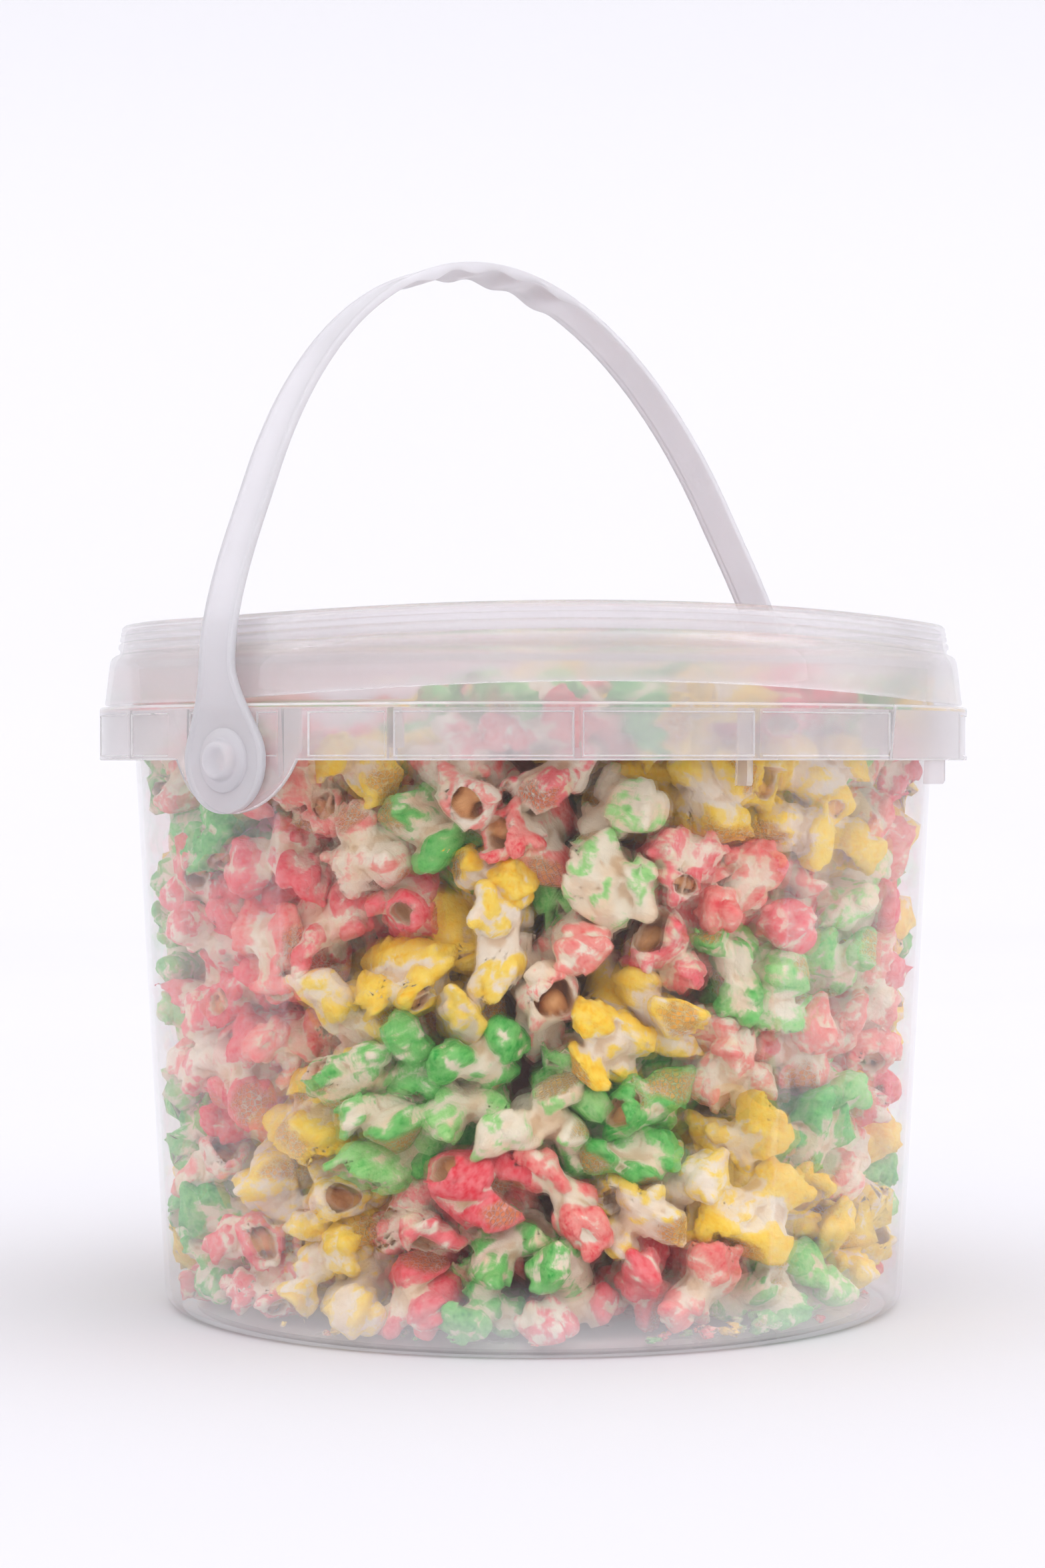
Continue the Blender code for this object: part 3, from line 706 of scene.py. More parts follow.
class Flake:
    """One popped flake as a distance field in mm: creased lobes, cups and cut ends."""

    def __init__(self, rng):
        self.rng = rng
        self.warp = [Waves(rng, 12) for _ in range(3)]
        self.creases = Waves(rng, 6.5)
        self.folds = Waves(rng, 3.2, 9)
        self.grain = Waves(rng, 1.9, 9)
        self.heart = rng.uniform(3.8, 5.0)
        count = rng.integers(3, 6)
        self.lobes = [self.lobe(u, k) for k, u in enumerate(spread_directions(rng, count))]
        self.stretch = np.array([rng.uniform(1.05, 1.3), 1.0, rng.uniform(0.78, 0.95)])

    def lobe(self, direction, number):
        rng = self.rng
        kind = rng.choice(["balloon", "cup", "cut", "petal"], p=[0.26, 0.36, 0.26, 0.12])
        size = {"balloon": 4.6, "cup": 5.1, "cut": 5.0, "petal": 5.2}[kind] * rng.uniform(0.8, 1.2)
        centre = direction * rng.uniform(5.2, 8.0)
        turn = turn_towards(rng, unit(direction + 0.5 * rng.normal(size=3)))
        shape = {
            "balloon": rng.uniform(0.8, 1.2, 3),
            "cup": np.array([1.1, 1.0, 1.05]),
            "cut": rng.uniform(0.85, 1.25, 3),
            "petal": np.array([0.5, 1.3, 1.1]),
        }[kind]
        bumps = []
        for _ in range({"balloon": 9, "cup": 7, "cut": 6, "petal": 7}[kind]):
            lean = unit(0.45 * direction + unit(rng.normal(size=3)))
            away = size * rng.uniform(0.65, 1.0)
            bumps.append((centre + turn @ (turn.T @ lean * shape) * away, rng.uniform(1.2, 2.9)))
        mouth = turn[:, 2]
        side = turn[:, 0]
        bubbles = [
            (centre - mouth * size * 0.02 + side * s * size * 0.36, size * rng.uniform(0.34, 0.5))
            for s in (-1, 1)
        ]
        return {
            "kind": kind,
            "centre": centre,
            "turn": turn,
            "radii": size * shape,
            "bumps": bumps,
            "neck": size * rng.uniform(0.65, 0.9),
            "mouth": mouth,
            "hollow": size * rng.uniform(0.7, 0.84),
            "split": rng.random() < 0.5,
            "bubbles": bubbles[: rng.integers(1, 3)],
            "faces": [
                (unit(mouth + t * rng.normal(size=3)), size * rng.uniform(0.3, 0.6)) for t in (0.15, 0.9)
            ],
        }

    def fields(self, points):
        """Distances: the flake, its uncut body, its hollows, its cut planes and its membranes."""
        p = points + 1.3 * np.stack([wave(points) for wave in self.warp], axis=1)
        rough = 0.3 - np.abs(self.creases(p))
        fine = 0.3 - np.abs(self.folds(p))
        wrinkle = 1.25 * rough + 0.5 * fine + 0.14 * self.grain(p)
        whole = ball(p, 0, self.heart)
        hollow = np.full(len(p), 99.0)
        planes = np.full(len(p), -99.0)
        bubbles = np.full(len(p), 99.0)
        for lobe in self.lobes:
            c, mouth = lobe["centre"], lobe["mouth"]
            part = stem(p, c * 0.1, c * 0.8, lobe["neck"], lobe["neck"] * 0.9)
            part = blend_min(part, egg(p, c, lobe["radii"], lobe["turn"]), 0.9)
            for centre, radius in lobe["bumps"]:
                part = blend_min(part, ball(p, centre, radius), 0.3)
            whole = blend_min(whole, part, 0.8)
            if lobe["kind"] == "cup":
                inside = ball(p, c, lobe["hollow"])
                inside = blend_min(inside, stem(p, c, c + 9 * mouth, lobe["hollow"] * 0.8, lobe["hollow"]), 0.8)
                if lobe["split"]:
                    wall = np.abs((p - c) @ lobe["turn"][:, 0]) - 0.55
                    inside = blend_max(inside, -np.maximum(wall, (p - c) @ mouth - 2.2), 0.5)
                hollow = np.minimum(hollow, inside + 0.25 * fine)
                for centre, radius in lobe["bubbles"]:
                    bubbles = np.minimum(bubbles, ball(p, centre, radius))
            if lobe["kind"] == "cut":
                near = ball(p, c, lobe["radii"].max() + 2.5)
                for normal, depth in lobe["faces"]:
                    plane = (p - c) @ normal - depth + 0.15 * self.grain(p)
                    planes = np.maximum(planes, np.where(near < 0, np.minimum(plane, -near), -99.0))
        whole = whole + wrinkle
        shaped = blend_max(blend_max(whole, -hollow, 0.35), planes, 0.2)
        inner = np.maximum(bubbles, hollow - 0.6)
        return blend_min(shaped, inner, 0.25), whole, hollow, planes, inner

    def look(self, points, bulge):
        """Per point: coating (lowest in valleys, where the material paints shade), membrane inside a cup, and
        open crumb of a cut end.
        """
        _, whole, hollow, planes, inner = self.fields(points)
        buried = smooth_step(-whole, 0.4, 1.2)
        membrane = buried * (0.45 * (hollow < 0.7) + 0.55 * (inner < 0.3))
        crumb = buried * (planes > -0.5) * (hollow > 0.5)
        outer = smooth_step(np.linalg.norm(points, axis=1), 5.0, 12.0)
        # Coating follows bulge, so it is low in valleys, where the popcorn material paints tan shade.
        coating = np.clip(0.35 + 0.45 * outer + 0.8 * bulge, 0, 1) * (1 - membrane)
        return np.stack([coating, membrane, crumb], axis=1)


def surface_net(field, low, pitch):
    """Quads round the zero surface of a grid of distances."""
    solid = field < 0
    size = np.array(field.shape)
    corners = [np.array(c) for c in np.ndindex(2, 2, 2)]
    cells = sum(solid[c[0] : size[0] - 1 + c[0], c[1] : size[1] - 1 + c[1], c[2] : size[2] - 1 + c[2]].astype(int) for c in corners)
    active = (cells > 0) & (cells < 8)
    ids = np.full(active.shape, -1)
    ids[active] = np.arange(active.sum())
    base = np.argwhere(active)
    total, count = np.zeros((len(base), 3)), np.zeros(len(base))
    for a in corners:
        for axis in range(3):
            if a[axis]:
                continue
            step = np.eye(3, dtype=int)[axis]
            va = field[tuple((base + a).T)]
            vb = field[tuple((base + a + step).T)]
            crossing = (va < 0) != (vb < 0)
            t = va[crossing] / (va[crossing] - vb[crossing])
            total[crossing] += base[crossing] + a + t[:, None] * step
            count[crossing] += 1
    points = low + pitch * total / count[:, None]
    quads = []
    for axis in range(3):
        u, v = (axis + 1) % 3, (axis + 2) % 3
        step = np.eye(3, dtype=int)
        lower = np.take(solid, range(size[axis] - 1), axis)
        upper = np.take(solid, range(1, size[axis]), axis)
        edges = np.argwhere(lower != upper)
        edges = edges[(edges[:, u] > 0) & (edges[:, v] > 0)]
        edges = edges[(edges[:, u] < size[u] - 1) & (edges[:, v] < size[v] - 1)]
        around = [edges, edges - step[u], edges - step[u] - step[v], edges - step[v]]
        faces = np.stack([ids[tuple(cell.T)] for cell in around], axis=1)
        flip = ~lower[tuple(edges.T)]
        faces[flip] = faces[flip][:, ::-1]
        quads.append(faces)
    return points, np.concatenate(quads)


def reduced(points, faces, triangles):
    """The mesh brought down to a number of triangles by Blender's Decimate."""
    mesh = bpy.data.meshes.new("flake")
    mesh.from_pydata(points.tolist(), [], faces.tolist())
    obj = link(bpy.data.objects.new("flake", mesh))
    modifier = obj.modifiers.new("reduce", "DECIMATE")
    modifier.ratio = min(1.0, triangles / (2 * len(faces)))
    graph = bpy.context.evaluated_depsgraph_get()
    result = obj.evaluated_get(graph).to_mesh()
    result.calc_loop_triangles()
    out = np.empty(len(result.vertices) * 3, np.float32)
    result.vertices.foreach_get("co", out)
    tris = np.empty(len(result.loop_triangles) * 3, np.int32)
    result.loop_triangles.foreach_get("vertices", tris)
    bpy.data.objects.remove(obj)
    bpy.data.meshes.remove(mesh)
    return out.reshape(-1, 3).astype(float), tris.reshape(-1, 3)


def bulge_of(points, tris):
    """How far each vertex stands out from its smoothed surroundings, in mm."""
    edges = np.concatenate([tris[:, [0, 1]], tris[:, [1, 2]], tris[:, [2, 0]]])
    edges = np.concatenate([edges, edges[:, ::-1]])
    degree = np.bincount(edges[:, 0], minlength=len(points))[:, None]
    smooth = points.copy()
    for _ in range(14):
        mean = np.zeros_like(smooth)
        np.add.at(mean, edges[:, 0], smooth[edges[:, 1]])
        smooth = 0.4 * smooth + 0.6 * mean / np.maximum(degree, 1)
    normals = np.zeros_like(points)
    face = np.cross(points[tris[:, 1]] - points[tris[:, 0]], points[tris[:, 2]] - points[tris[:, 0]])
    for k in range(3):
        np.add.at(normals, tris[:, k], face)
    normals /= np.maximum(np.linalg.norm(normals, axis=1, keepdims=True), 1e-9)
    return ((points - smooth) * normals).sum(axis=1)


def make_shape(seed):
    """One flake shape: fine and coarse meshes with their looks, and points that fill it."""
    rng = np.random.default_rng(seed)
    flake = Flake(rng)
    pitch = 0.7
    side = np.arange(-19, 19.01, pitch)
    grid = np.stack(np.meshgrid(side, side, side, indexing="ij"), axis=-1)
    field = flake.fields(grid.reshape(-1, 3))[0].reshape(grid.shape[:3])
    points, faces = surface_net(field, np.array([side[0]] * 3), pitch)
    fill = grid[field < -0.35] * flake.stretch
    fill = fill[rng.permutation(len(fill))]
    meshes = []
    for triangles in TRIANGLES:
        co, tris = reduced(points, faces, triangles)
        meshes.append((co * flake.stretch, tris, flake.look(co, bulge_of(co, tris))))
    fine = meshes[0][0]
    ends = np.unique((fine @ unit(rng.normal(size=(400, 3))).T).argmax(axis=0))
    return {"meshes": meshes, "fill": fill, "skin": fine[ends]}


# ---------------------------------------------------------------- heap


def heap_height(x, y):
    across = x * math.cos(HEAP_HIGH_ANGLE) + y * math.sin(HEAP_HIGH_ANGLE)
    return HEAP_LOW + (HEAP_HIGH - HEAP_LOW) * smooth_step(across, -30, 0)


def room_radius(z):
    """Clear radius inside the tub's wall and foot corner."""
    up = np.clip(z - WALL, 0.0, None)
    corner = FOOT_CORNER - WALL
    short = np.where(up < corner, corner - np.sqrt(np.maximum(corner**2 - (corner - up) ** 2, 0)), 0)
    room = wall_radius(z) - WALL - 0.25 - short
    return np.where(z > PLUG_BOTTOM - 0.6, PLUG_RADIUS - LID_WALL - 0.4, room)


def core_top(x, y):
    return heap_height(x, y) - CORE_DEPTH


class Heap:
    """Flakes packed in the tub, kept apart by a grid of taken cells."""

    PITCH = 2.0

    def __init__(self, shapes, rng):
        self.shapes = shapes
        self.rng = rng
        self.taken = np.zeros((100, 100, 80), bool)
        self.placed = []
        x, y, z = np.meshgrid(*[(np.arange(n) - o + 0.5) * self.PITCH for n, o in GRID], indexing="ij")
        self.taken |= (np.hypot(x, y) < CORE_RADIUS) & (z < core_top(x, y))

    def cells(self, points):
        index = np.floor(points / self.PITCH).astype(int) + np.array([50, 50, 0])
        return tuple(np.moveaxis(np.clip(index, 0, [99, 99, 79]), -1, 0))

    def overlap(self, fill, offsets):
        """Share of a flake that lies in taken cells, for each offset."""
        return self.taken[self.cells(fill[None] + offsets[:, None])].mean(axis=1)

    def place(self, number, turn, size, centre):
        shape = self.shapes[number]
        self.taken[self.cells(shape["fill"] @ turn.T * size + centre)] = True
        self.placed.append((number, turn * size, centre))

    def candidate(self):
        number = self.rng.integers(len(self.shapes))
        shape = self.shapes[number]
        turn, size = random_turn(self.rng), self.rng.uniform(0.94, 1.18)
        fill = shape["fill"][:260] @ turn.T * size
        return number, turn, size, fill, shape["skin"] @ turn.T * size

    def wall_reach(self, skin, angle, height):
        """Distance from the axis at which a flake at that height just touches the wall."""
        out = np.array([math.cos(angle), math.sin(angle)])
        along = skin[:, :2] @ out
        across = skin[:, :2] @ np.array([-out[1], out[0]])
        room = room_radius(skin[:, 2] + height)
        return (np.sqrt(np.maximum(room**2 - across**2, 0)) - along).min()

    def fill_wall(self):
        """Flakes against the wall, from the floor up, each as low as it will lie."""
        misses = 0
        while misses < 8:
            best = None
            for _ in range(46):
                number, turn, size, fill, skin = self.candidate()
                angle = self.rng.uniform(0, math.tau)
                lowest = WALL + 0.9 - skin[:, 2].min()
                top = heap_height(78 * math.cos(angle), 78 * math.sin(angle)) + 3 - skin[:, 2].max()
                if top <= lowest:
                    continue
                heights = np.arange(lowest, top, 1.5)
                start = self.wall_reach(skin, angle, heights[0])
                reach = start + WALL_TAPER * (heights - heights[0])
                offsets = np.stack([reach * math.cos(angle), reach * math.sin(angle), heights], axis=1)
                free = np.nonzero(self.overlap(fill, offsets) <= 0.035)[0]
                if len(free) and (best is None or heights[free[0]] < best[0]):
                    best = (heights[free[0]], number, turn, size, angle, skin)
            if best is None:
                misses += 1
                continue
            height, number, turn, size, angle, skin = best
            reach = self.wall_reach(skin, angle, height)
            centre = np.array([reach * math.cos(angle), reach * math.sin(angle), height])
            self.place(number, turn, size, centre)

    def fill_behind(self):
        """Flakes in the gaps behind the wall's layer, each pushed out as far as it will go."""
        misses = 0
        while misses < 10:
            best = None
            for _ in range(40):
                number, turn, size, fill, skin = self.candidate()
                angle = self.rng.uniform(0, math.tau)
                height = self.rng.uniform(WALL + 0.9 - skin[:, 2].min(), 128)
                limit = self.wall_reach(skin, angle, height)
                reach = np.arange(CORE_RADIUS, limit, 2.0)
                if not len(reach):
                    continue
                offsets = np.stack(
                    [reach * math.cos(angle), reach * math.sin(angle), np.full(len(reach), height)], axis=1
                )
                free = np.nonzero(self.overlap(fill, offsets) <= 0.24)[0]
                if len(free) and (best is None or reach[free[-1]] > best[0]):
                    best = (reach[free[-1]], number, turn, size, offsets[free[-1]])
            if best is None:
                misses += 1
                continue
            self.place(*best[1:])

    def fill_top(self, limit):
        """Flakes dropped on the core and between the wall's layer, up to the heap's uneven top."""
        misses = 0
        while misses < 8:
            best = None
            for _ in range(50):
                number, turn, size, fill, skin = self.candidate()
                radius, angle = 80 * math.sqrt(self.rng.random()), self.rng.uniform(0, math.tau)
                surface = heap_height(radius * math.cos(angle), radius * math.sin(angle))
                top = min(surface + self.rng.uniform(0, 5), HEAP_CEILING) - skin[:, 2].max()
                radius = min(radius, self.wall_reach(skin, angle, top))
                heights = np.arange(top, top - 34, -1.5)
                place = np.array([radius * math.cos(angle), radius * math.sin(angle), 0])
                offsets = place + heights[:, None] * np.array([0, 0, 1])
                blocked = np.nonzero(self.overlap(fill, offsets) > limit)[0]
                if len(blocked) and blocked[0] > 0:
                    offset = offsets[blocked[0] - 1]
                    depth = surface - offset[2] - skin[:, 2].max()
                    if best is None or depth > best[0]:
                        best = (depth, number, turn, size, offset)
            if best is None:
                misses += 1
                continue
            self.place(*best[1:])


def faces_front(centre):
    angle = math.atan2(centre[1], centre[0]) - VIEW_AZIMUTH + math.pi / 2
    return abs(math.remainder(angle, math.tau)) < math.radians(76)


def colour_of(centre, rng):
    """Kind of a flake: that of its group on the side where groups are given, or else any."""
    angle, z = math.atan2(centre[1], centre[0]), centre[2]
    radius = math.hypot(centre[0], centre[1])

    def nearest(groups):
        return min(
            math.hypot(85 * math.remainder(angle - math.radians(a), math.tau), z - h) for a, h in groups
        )

    if faces_front(centre) and radius > 60 and z < 128:
        green, yellow = nearest(GREEN_GROUPS), nearest(YELLOW_GROUPS)
        if min(green, yellow) > 13:
            return rng.choice(["pink", "rose"], p=[0.55, 0.45])
        return rng.choice(["green", "mint"], p=[0.6, 0.4]) if green < yellow else "yellow"
    return rng.choice(["pink", "rose", "green", "mint", "yellow"], p=[0.22, 0.2, 0.19, 0.14, 0.25])


def joined(name, parts, material):
    """One mesh from flakes: (points in mm, triangles, look, fleck) for each."""
    starts = np.cumsum([0] + [len(part[0]) for part in parts[:-1]])
    points = np.concatenate([part[0] for part in parts]) * MM
    tris = np.concatenate([part[1] + start for part, start in zip(parts, starts)])
    look = np.concatenate([part[2] for part in parts])
    fleck = np.concatenate([part[3] for part in parts])
    mesh = bpy.data.meshes.new(name)
    mesh.vertices.add(len(points))
    mesh.vertices.foreach_set("co", points.ravel())
    mesh.loops.add(len(tris) * 3)
    mesh.loops.foreach_set("vertex_index", tris.ravel().astype(np.int32))
    mesh.polygons.add(len(tris))
    mesh.polygons.foreach_set("loop_start", np.arange(0, len(tris) * 3, 3, dtype=np.int32))
    mesh.update(calc_edges=True)
    mesh.validate()
    mesh.attributes.new("look", "FLOAT_VECTOR", "POINT").data.foreach_set("vector", look.ravel())
    mesh.attributes.new("fleck", "FLOAT", "POINT").data.foreach_set("value", fleck)
    mesh.shade_smooth()
    mesh.materials.append(material)
    print("DEBUG", name, len(parts), len(tris))
    obj = link(bpy.data.objects.new(name, mesh))
    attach(obj, "bucket")
    return obj


def make_core(material):
    """Lumpy middle of the heap, seen only between the flakes, in dark colours that paint the shade of the gaps.
    """
    rng = np.random.default_rng(5)
    lumps, grain = Waves(rng, 20, 9), Waves(rng, 6, 9)
    profile = [(r, -1.0) for r in (0.0, 0.5, 0.85)] + [(1.0, h) for h in np.linspace(-0.96, 0.96, 60)]
    profile += [(r, 1.0) for r in np.linspace(0.97, 0, 30)]
    columns = []
    for angle in np.linspace(0, math.tau, 160, endpoint=False):
        reach, height = np.array(profile).T
        x, y = CORE_RADIUS * reach * math.cos(angle), CORE_RADIUS * reach * math.sin(angle)
        z = 5 + (core_top(x, y) - 5) * (height + 1) / 2
        points = np.stack([x, y, z], axis=1)
        swell = 2.2 * lumps(points) + 1.0 * grain(points)
        outward = np.stack([np.cos(angle) * reach, np.sin(angle) * reach, height], axis=1)
        points += unit(outward + 1e-9) * np.where(reach > 0, swell, 0)[:, None]
        columns.append(points)
    core = grid_object("popcorn_core", columns, "around", 180)
    core.data.materials.append(material)
    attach(core, "bucket")
    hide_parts("popcorn")


def add_crumbs(heap, parts, rng):
    """Loose crumbs on the tub's floor, most of them in one place by the wall."""
    spots = [(-108, 79), (-105, 76), (-112, 78), (-100, 80), (-103, 81), (-122, 80), (-140, 79), (-88, 79)]
    spots += [(rng.uniform(0, 360), rng.uniform(70, 81)) for _ in range(26)]
    for number, (angle, reach) in enumerate(spots):
        points, tris, look = heap.shapes[rng.integers(len(heap.shapes))]["meshes"][2]
        size = rng.uniform(0.2, 0.38) if number < 5 else rng.uniform(0.08, 0.2)
        points = points @ random_turn(rng).T * size * np.array([1, 1, 0.6])
        x, y = reach * math.cos(math.radians(angle)), reach * math.sin(math.radians(angle))
        points = points + np.array([x, y, 2.0 - points[:, 2].min()])
        kind = rng.choice(list(parts))
        parts[kind].append((points, tris, look, np.full(len(points), rng.random())))


def make_popcorn(materials):
    rng = np.random.default_rng(11)
    heap = Heap([make_shape(100 + k) for k in range(SHAPE_COUNT)], rng)
    heap.fill_wall()
    near = len(heap.placed)
    for limit in (0.04, 0.14, 0.26, 0.36):
        heap.fill_top(limit)
    crown = len(heap.placed)
    heap.fill_behind()
    print("flakes", near, crown - near, len(heap.placed) - crown)
    parts = {kind: [] for kind in materials}
    for number, (which, matrix, centre) in enumerate(heap.placed):
        level = 2 if number >= crown else 0 if number < near and faces_front(centre) else 1
        points, tris, look = heap.shapes[which]["meshes"][level]
        fleck = np.full(len(points), rng.random())
        parts[colour_of(centre, rng)].append((points @ matrix.T + centre, tris, look, fleck))
    add_crumbs(heap, parts, rng)
    for kind, flakes in parts.items():
        made = joined("popcorn_" + kind, flakes, materials[kind])
        print(made.name, len(flakes), len(made.data.polygons))


# ---------------------------------------------------------------- materials


class Nodes:
    """Short names for building a material's nodes."""

    def __init__(self, material):
        self.material = material
        self.material.use_nodes = True
        self.tree = self.material.node_tree
        self.shader = self.tree.nodes["Principled BSDF"]

    def add(self, kind, inputs=(), **settings):
        node = self.tree.nodes.new(kind)
        for key, value in settings.items():
            setattr(node, key, value)
        for key, value in dict(inputs).items():
            self.put(node.inputs[key], value)
        return node

    def put(self, socket, value):
        if isinstance(value, bpy.types.NodeSocket):
            self.tree.links.new(value, socket)
        else:
            socket.default_value = value

    def maths(self, operation, a, b=0.0, clamp=False):
        node = self.add("ShaderNodeMath", {0: a, 1: b}, operation=operation, use_clamp=clamp)
        return node.outputs[0]

    def noise(self, scale, detail=4.0, roughness=0.55, vector=None, distortion=0.0):
        inputs = {"Scale": scale, "Detail": detail, "Roughness": roughness, "Distortion": distortion}
        inputs["Vector"] = vector if vector else self.position()
        return self.add("ShaderNodeTexNoise", inputs).outputs["Fac"]

    def position(self):
        return self.add("ShaderNodeTexCoord").outputs["Object"]

    def ramp(self, value, low, high, out_low=0.0, out_high=1.0):
        inputs = {"Value": value, "From Min": low, "From Max": high, "To Min": out_low, "To Max": out_high}
        node = self.add("ShaderNodeMapRange", inputs, interpolation_type="SMOOTHSTEP")
        return node.outputs["Result"]

    def mix(self, factor, a, b):
        node = self.add("ShaderNodeMix", data_type="RGBA")
        for key, value in ((0, factor), (6, a), (7, b)):
            self.put(node.inputs[key], value)
        return node.outputs[2]

    def bump(self, height, distance, strength=1.0, normal=None):
        inputs = {"Height": height, "Distance": distance, "Strength": strength}
        if normal:
            inputs["Normal"] = normal
        return self.add("ShaderNodeBump", inputs).outputs["Normal"]

    def set(self, **values):
        for key, value in values.items():
            self.put(self.shader.inputs[key.replace("_", " ")], value)


def rgb(red, green, blue):
    """Linear colour from 0-255 display values."""
    return (*[((v / 255 + 0.055) / 1.055) ** 2.4 if v > 10 else v / 3295 for v in (red, green, blue)], 1.0)


def scaled(colour, factor):
    return (*[factor * c for c in colour[:3]], 1.0)


def popcorn_material(name, cream, bold, light, crumb, cover):
    """Cream popcorn with ragged patches of coating, tan membranes, open crumb and painted tan shade in its
    valleys.
    """
    n = Nodes(bpy.data.materials.new(name))
    look = n.add("ShaderNodeAttribute", attribute_name="look").outputs["Vector"]
    fleck = n.add("ShaderNodeAttribute", attribute_name="fleck").outputs["Fac"]
    split = n.add("ShaderNodeSeparateXYZ", {"Vector": look}).outputs
    coating, membrane, open_crumb = split[0], split[1], split[2]
    patches = n.noise(230, 5, 0.6, distortion=0.4)
    value = n.maths("ADD", n.maths("MULTIPLY", coating, 0.62), n.maths("MULTIPLY", patches, 1.2))
    value = n.maths("ADD", value, n.ramp(fleck, 0.0, 1.0, cover - 0.17, cover + 0.05))
    thin = n.ramp(value, 0.96, 1.12)
    thick = n.ramp(value, 1.06, 1.34)
    soft = n.mix(n.ramp(n.noise(120, 4), 0.42, 0.7), cream, rgb(240, 212, 176))
    # Painted shade: where coating is low, in valleys and creases, the cream turns tan.
    soft = n.mix(n.ramp(coating, 0.05, 0.3, 0.6, 0.0), soft, rgb(214, 174, 128))
    tone = n.mix(n.ramp(n.noise(700, 4, 0.7), 0.35, 0.65), light, bold)
    colour = n.mix(n.maths("MULTIPLY", thin, 0.9), soft, light)
    colour = n.mix(thick, colour, tone)
    lace = n.add(
        "ShaderNodeTexVoronoi",
        {"Scale": 950.0, "Randomness": 1.0, "Vector": n.position()},
        feature="DISTANCE_TO_EDGE",
    ).outputs["Distance"]
    cell = n.ramp(lace, 0.0, 0.16)
    tint = n.mix(n.ramp(n.noise(420, 3), 0.4, 0.6), crumb, scaled(crumb, 0.8))
    crumb_colour = n.mix(cell, n.mix(n.maths("MULTIPLY", thin, 0.5), cream, light), tint)
    colour = n.mix(n.maths("MULTIPLY", open_crumb, 0.92), colour, crumb_colour)
    tan = n.mix(n.ramp(n.noise(160, 4), 0.35, 0.7), rgb(238, 176, 112), rgb(200, 124, 66))
    colour = n.mix(n.ramp(membrane, 0.0, 0.9, 0.0, 0.95), colour, tan)
    folds = n.noise(520, 6, 0.65, distortion=0.9)
    normal = n.bump(n.noise(240, 4, 0.6, distortion=1.2), 0.0012, 0.5)
    normal = n.bump(folds, 0.0006, 0.7, normal)
    normal = n.bump(n.noise(1700, 3, 0.6), 0.00015, 0.5, normal)
    pits = n.maths("SUBTRACT", 1.0, n.maths("MULTIPLY", cell, open_crumb))
    normal = n.bump(pits, 0.0005, 0.8, normal)
    rough = n.ramp(folds, 0.3, 0.7, 0.55, 0.75)
    rough = n.maths("SUBTRACT", rough, n.maths("MULTIPLY", membrane, 0.22))
    n.set(Base_Color=colour, Roughness=rough, Normal=normal)
    n.shader.inputs["IOR"].default_value = 1.45
    return n.material


def popcorn_materials():
    cream, pale = rgb(245, 231, 209), rgb(241, 229, 203)
    return {
        "pink": popcorn_material(
            "pink_coating", cream, rgb(236, 34, 54), rgb(246, 116, 122), rgb(240, 138, 84), 0.03
        ),
        "rose": popcorn_material(
            "rose_coating", cream, rgb(240, 62, 70), rgb(248, 146, 134), rgb(242, 162, 98), -0.04
        ),
        "green": popcorn_material(
            "green_coating", pale, rgb(30, 160, 48), rgb(112, 202, 98), rgb(226, 172, 82), 0.02
        ),
        "mint": popcorn_material(
            "mint_coating", pale, rgb(74, 186, 70), rgb(158, 220, 128), rgb(230, 182, 98), -0.05
        ),
        "yellow": popcorn_material(
            "yellow_coating", cream, rgb(252, 192, 6), rgb(254, 218, 72), rgb(246, 170, 56), 0.0
        ),
    }


def core_shade_material():
    # Painted shade: dark browns and olive, much darker than the flakes, stand for the shade deep in the gaps
    # between them.
    n = Nodes(bpy.data.materials.new("popcorn_core"))
    tint = n.noise(70, 3)
    warm_shade = n.mix(n.ramp(tint, 0.42, 0.5), rgb(160, 88, 70), rgb(176, 124, 80))
    colour = n.mix(n.ramp(tint, 0.54, 0.62), warm_shade, rgb(104, 106, 64))
    n.set(Base_Color=colour, Roughness=0.85, Normal=n.bump(n.noise(200, 6), 0.003))
    return n.material


def plastic_material(name, colour, transmission, roughness, depth, cloudy=0.0, alpha=1.0):
    """Moulded polypropylene: faint mottling in colour and gloss, and an uneven surface."""
    n = Nodes(bpy.data.materials.new(name))
    mottling = n.noise(26, 4, 0.6)
    tone = n.mix(n.ramp(mottling, 0.35, 0.65), colour, scaled(colour, 0.97))
    rough = n.ramp(mottling, 0.35, 0.65, *roughness)
    n.set(Roughness=rough, Base_Color=tone, Normal=n.bump(n.noise(34, 2), depth, 0.3))
    n.shader.inputs["IOR"].default_value = 1.49
    n.shader.inputs["Alpha"].default_value = alpha
    n.shader.inputs["Transmission Weight"].default_value = transmission
    n.shader.inputs["Subsurface Weight"].default_value = cloudy
    n.shader.inputs["Subsurface Radius"].default_value = (1, 1, 1)
    n.shader.inputs["Subsurface Scale"].default_value = 3 * MM
    return n.material


def haze_and_shade_edges(material):
    """Makes the clear plastic milkier towards the tub's foot and where it is seen on edge, and greyer on edge
    as painted shade.
    """
    n = Nodes(material)
    height = n.add("ShaderNodeSeparateXYZ", {"Vector": n.position()}).outputs["Z"]
    slant = n.add("ShaderNodeLayerWeight", {"Blend": 0.5}).outputs["Facing"]
    clear = n.maths("MULTIPLY", n.ramp(height, 0.002, 0.018, 0.0, 0.98), n.ramp(slant, 0.3, 0.95, 1.0, 0.42))
    tone = n.shader.inputs["Base Color"].links[0].from_socket
    # Painted shade: the colour turns grey where the wall is seen on edge, which darkens the tub's outline.
    tone = n.mix(n.ramp(slant, 0.5, 1.0), tone, (0.76, 0.73, 0.76, 1))
    n.set(Transmission_Weight=clear, Base_Color=tone)


# ---------------------------------------------------------------- stage


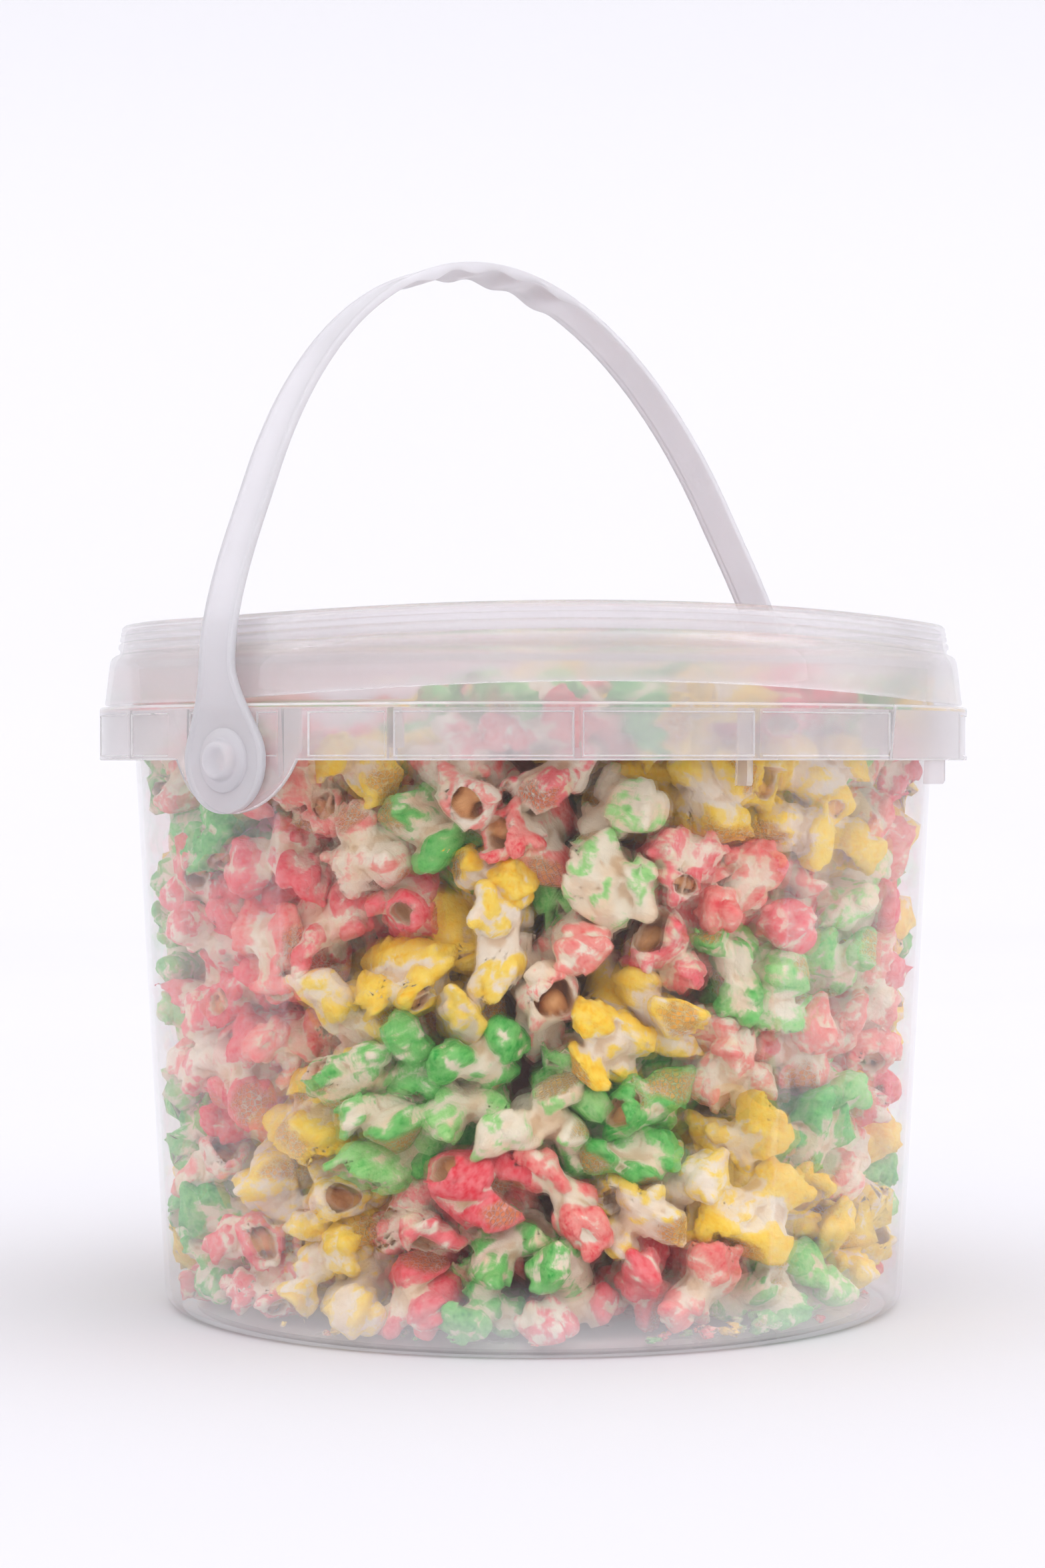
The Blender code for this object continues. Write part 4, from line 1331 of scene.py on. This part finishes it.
def make_stage():
    """White cloth sweep in a white room with a broad window on one side."""
    bm = bmesh.new()
    bend = [(1.6 + 1.4 * math.sin(t), 1.4 - 1.4 * math.cos(t)) for t in np.linspace(0.1, 1.5, 14)]
    profile = [(-2.2, 0.0), (1.6, 0.0), *bend, (3.1, 3.2)]
    turn = Matrix.Rotation(VIEW_AZIMUTH, 3, "Z")
    rows = [[bm.verts.new(turn @ Vector((x, y, z))) for x in (-3.0, 3.0)] for y, z in profile]
    for here, there in zip(rows, rows[1:]):
        bm.faces.new((here[0], here[1], there[1], there[0]))
    mesh = bpy.data.meshes.new("floor")
    bm.to_mesh(mesh)
    bm.free()
    mesh.shade_smooth()
    floor = link(bpy.data.objects.new("floor", mesh))
    n = Nodes(bpy.data.materials.new("white_cloth"))
    rise = n.add("ShaderNodeSeparateXYZ", {"Vector": n.position()}).outputs["Z"]
    cloth = n.mix(n.noise(3, 3), (0.665, 0.656, 0.68, 1), (0.685, 0.678, 0.7, 1))
    n.set(Base_Color=n.mix(n.ramp(rise, 0.05, 0.8), cloth, (0.722, 0.716, 0.737, 1)), Roughness=0.9)
    mesh.materials.append(n.material)

    world = bpy.data.worlds.new("white_room")
    bpy.context.scene.world = world
    world.use_nodes = True
    tree = world.node_tree
    place = tree.nodes.new("ShaderNodeTexCoord").outputs["Generated"]
    background = tree.nodes["Background"]
    background.inputs["Color"].default_value = (0.97, 0.965, 1.0, 1)

    def lobe(direction, low, high, strength):
        """Light that grows from nothing at one dot product with a direction to its full strength."""
        dot = tree.nodes.new("ShaderNodeVectorMath")
        dot.operation = "DOT_PRODUCT"
        dot.inputs[1].default_value = Vector(direction).normalized()
        tree.links.new(place, dot.inputs[0])
        ramp = tree.nodes.new("ShaderNodeMapRange")
        ramp.interpolation_type = "SMOOTHSTEP"
        tree.links.new(dot.outputs["Value"], ramp.inputs["Value"])
        for key, value in (("From Min", low), ("From Max", high), ("To Min", 0.0), ("To Max", strength)):
            ramp.inputs[key].default_value = value
        return ramp.outputs["Result"]

    def total(a, b):
        add = tree.nodes.new("ShaderNodeMath")
        for socket, value in zip(add.inputs, (a, b)):
            if isinstance(value, float):
                socket.default_value = value
            else:
                tree.links.new(value, socket)
        return add.outputs[0]

    behind = turn @ Vector((0, 1, 0.1))
    window = turn @ Vector((0.6, -0.65, 0.7))
    side = turn @ Vector((-0.8, -0.5, 0.5))
    light = total(lobe(behind, -0.9, 0.2, 0.46), lobe((0, 0, 1), 0.3, 1.0, 0.4))
    light = total(light, total(lobe(window, 0.1, 0.9, 1.05), lobe(side, 0.2, 0.95, 0.5)))
    light = total(light, 0.25)
    tree.links.new(light, background.inputs["Strength"])


def make_camera():
    """At the height of the collar's lower edge, 0.8 m away, between the front and the left."""
    camera = bpy.data.cameras.new("camera")
    camera.sensor_width = 36
    camera.lens = 79.0
    camera.clip_start = 0.05
    obj = link(bpy.data.objects.new("camera", camera))
    back = Vector((math.sin(VIEW_AZIMUTH), -math.cos(VIEW_AZIMUTH), 0))
    right = Vector((math.cos(VIEW_AZIMUTH), math.sin(VIEW_AZIMUTH), 0))
    obj.location = back * 0.8 + Vector((0, 0, 0.125))
    target = right * -0.0025 + Vector((0, 0, 0.1195))
    obj.rotation_euler = (target - obj.location).to_track_quat("-Z", "Y").to_euler()
    bpy.context.scene.camera = obj


def main():
    bpy.context.scene.view_settings.view_transform = "Standard"
    make_stage()
    make_camera()
    clear = plastic_material(
        "tub_clear", (0.98, 0.965, 0.975, 1), 0.98, (0.03, 0.07), 0.0002, alpha=0.25
    )
    haze_and_shade_edges(clear)
    hazy = plastic_material("hazy_plastic", (0.98, 0.95, 0.96, 1), 0.74, (0.12, 0.18), 0.0001)
    milky = plastic_material("milky_edges", (0.98, 0.92, 0.94, 1), 0.4, (0.25, 0.4), 0.0001, 0.9)
    cloudy = plastic_material("cloudy_rim", (0.98, 0.95, 0.955, 1), 0.62, (0.1, 0.16), 0.0001)
    make_tub(clear, hazy, milky, cloudy)
    frosted = plastic_material(
        "lid_frosted", (0.882, 0.843, 0.857, 1), 0.84, (0.14, 0.22), 0.0001, alpha=0.5
    )
    make_lid(frosted)
    make_handle(plastic_material("handle_milky", (0.86, 0.84, 0.872, 1), 0.52, (0.3, 0.42), 0.0001, 0.9))
    make_popcorn(popcorn_materials())
    make_core(core_shade_material())


main()
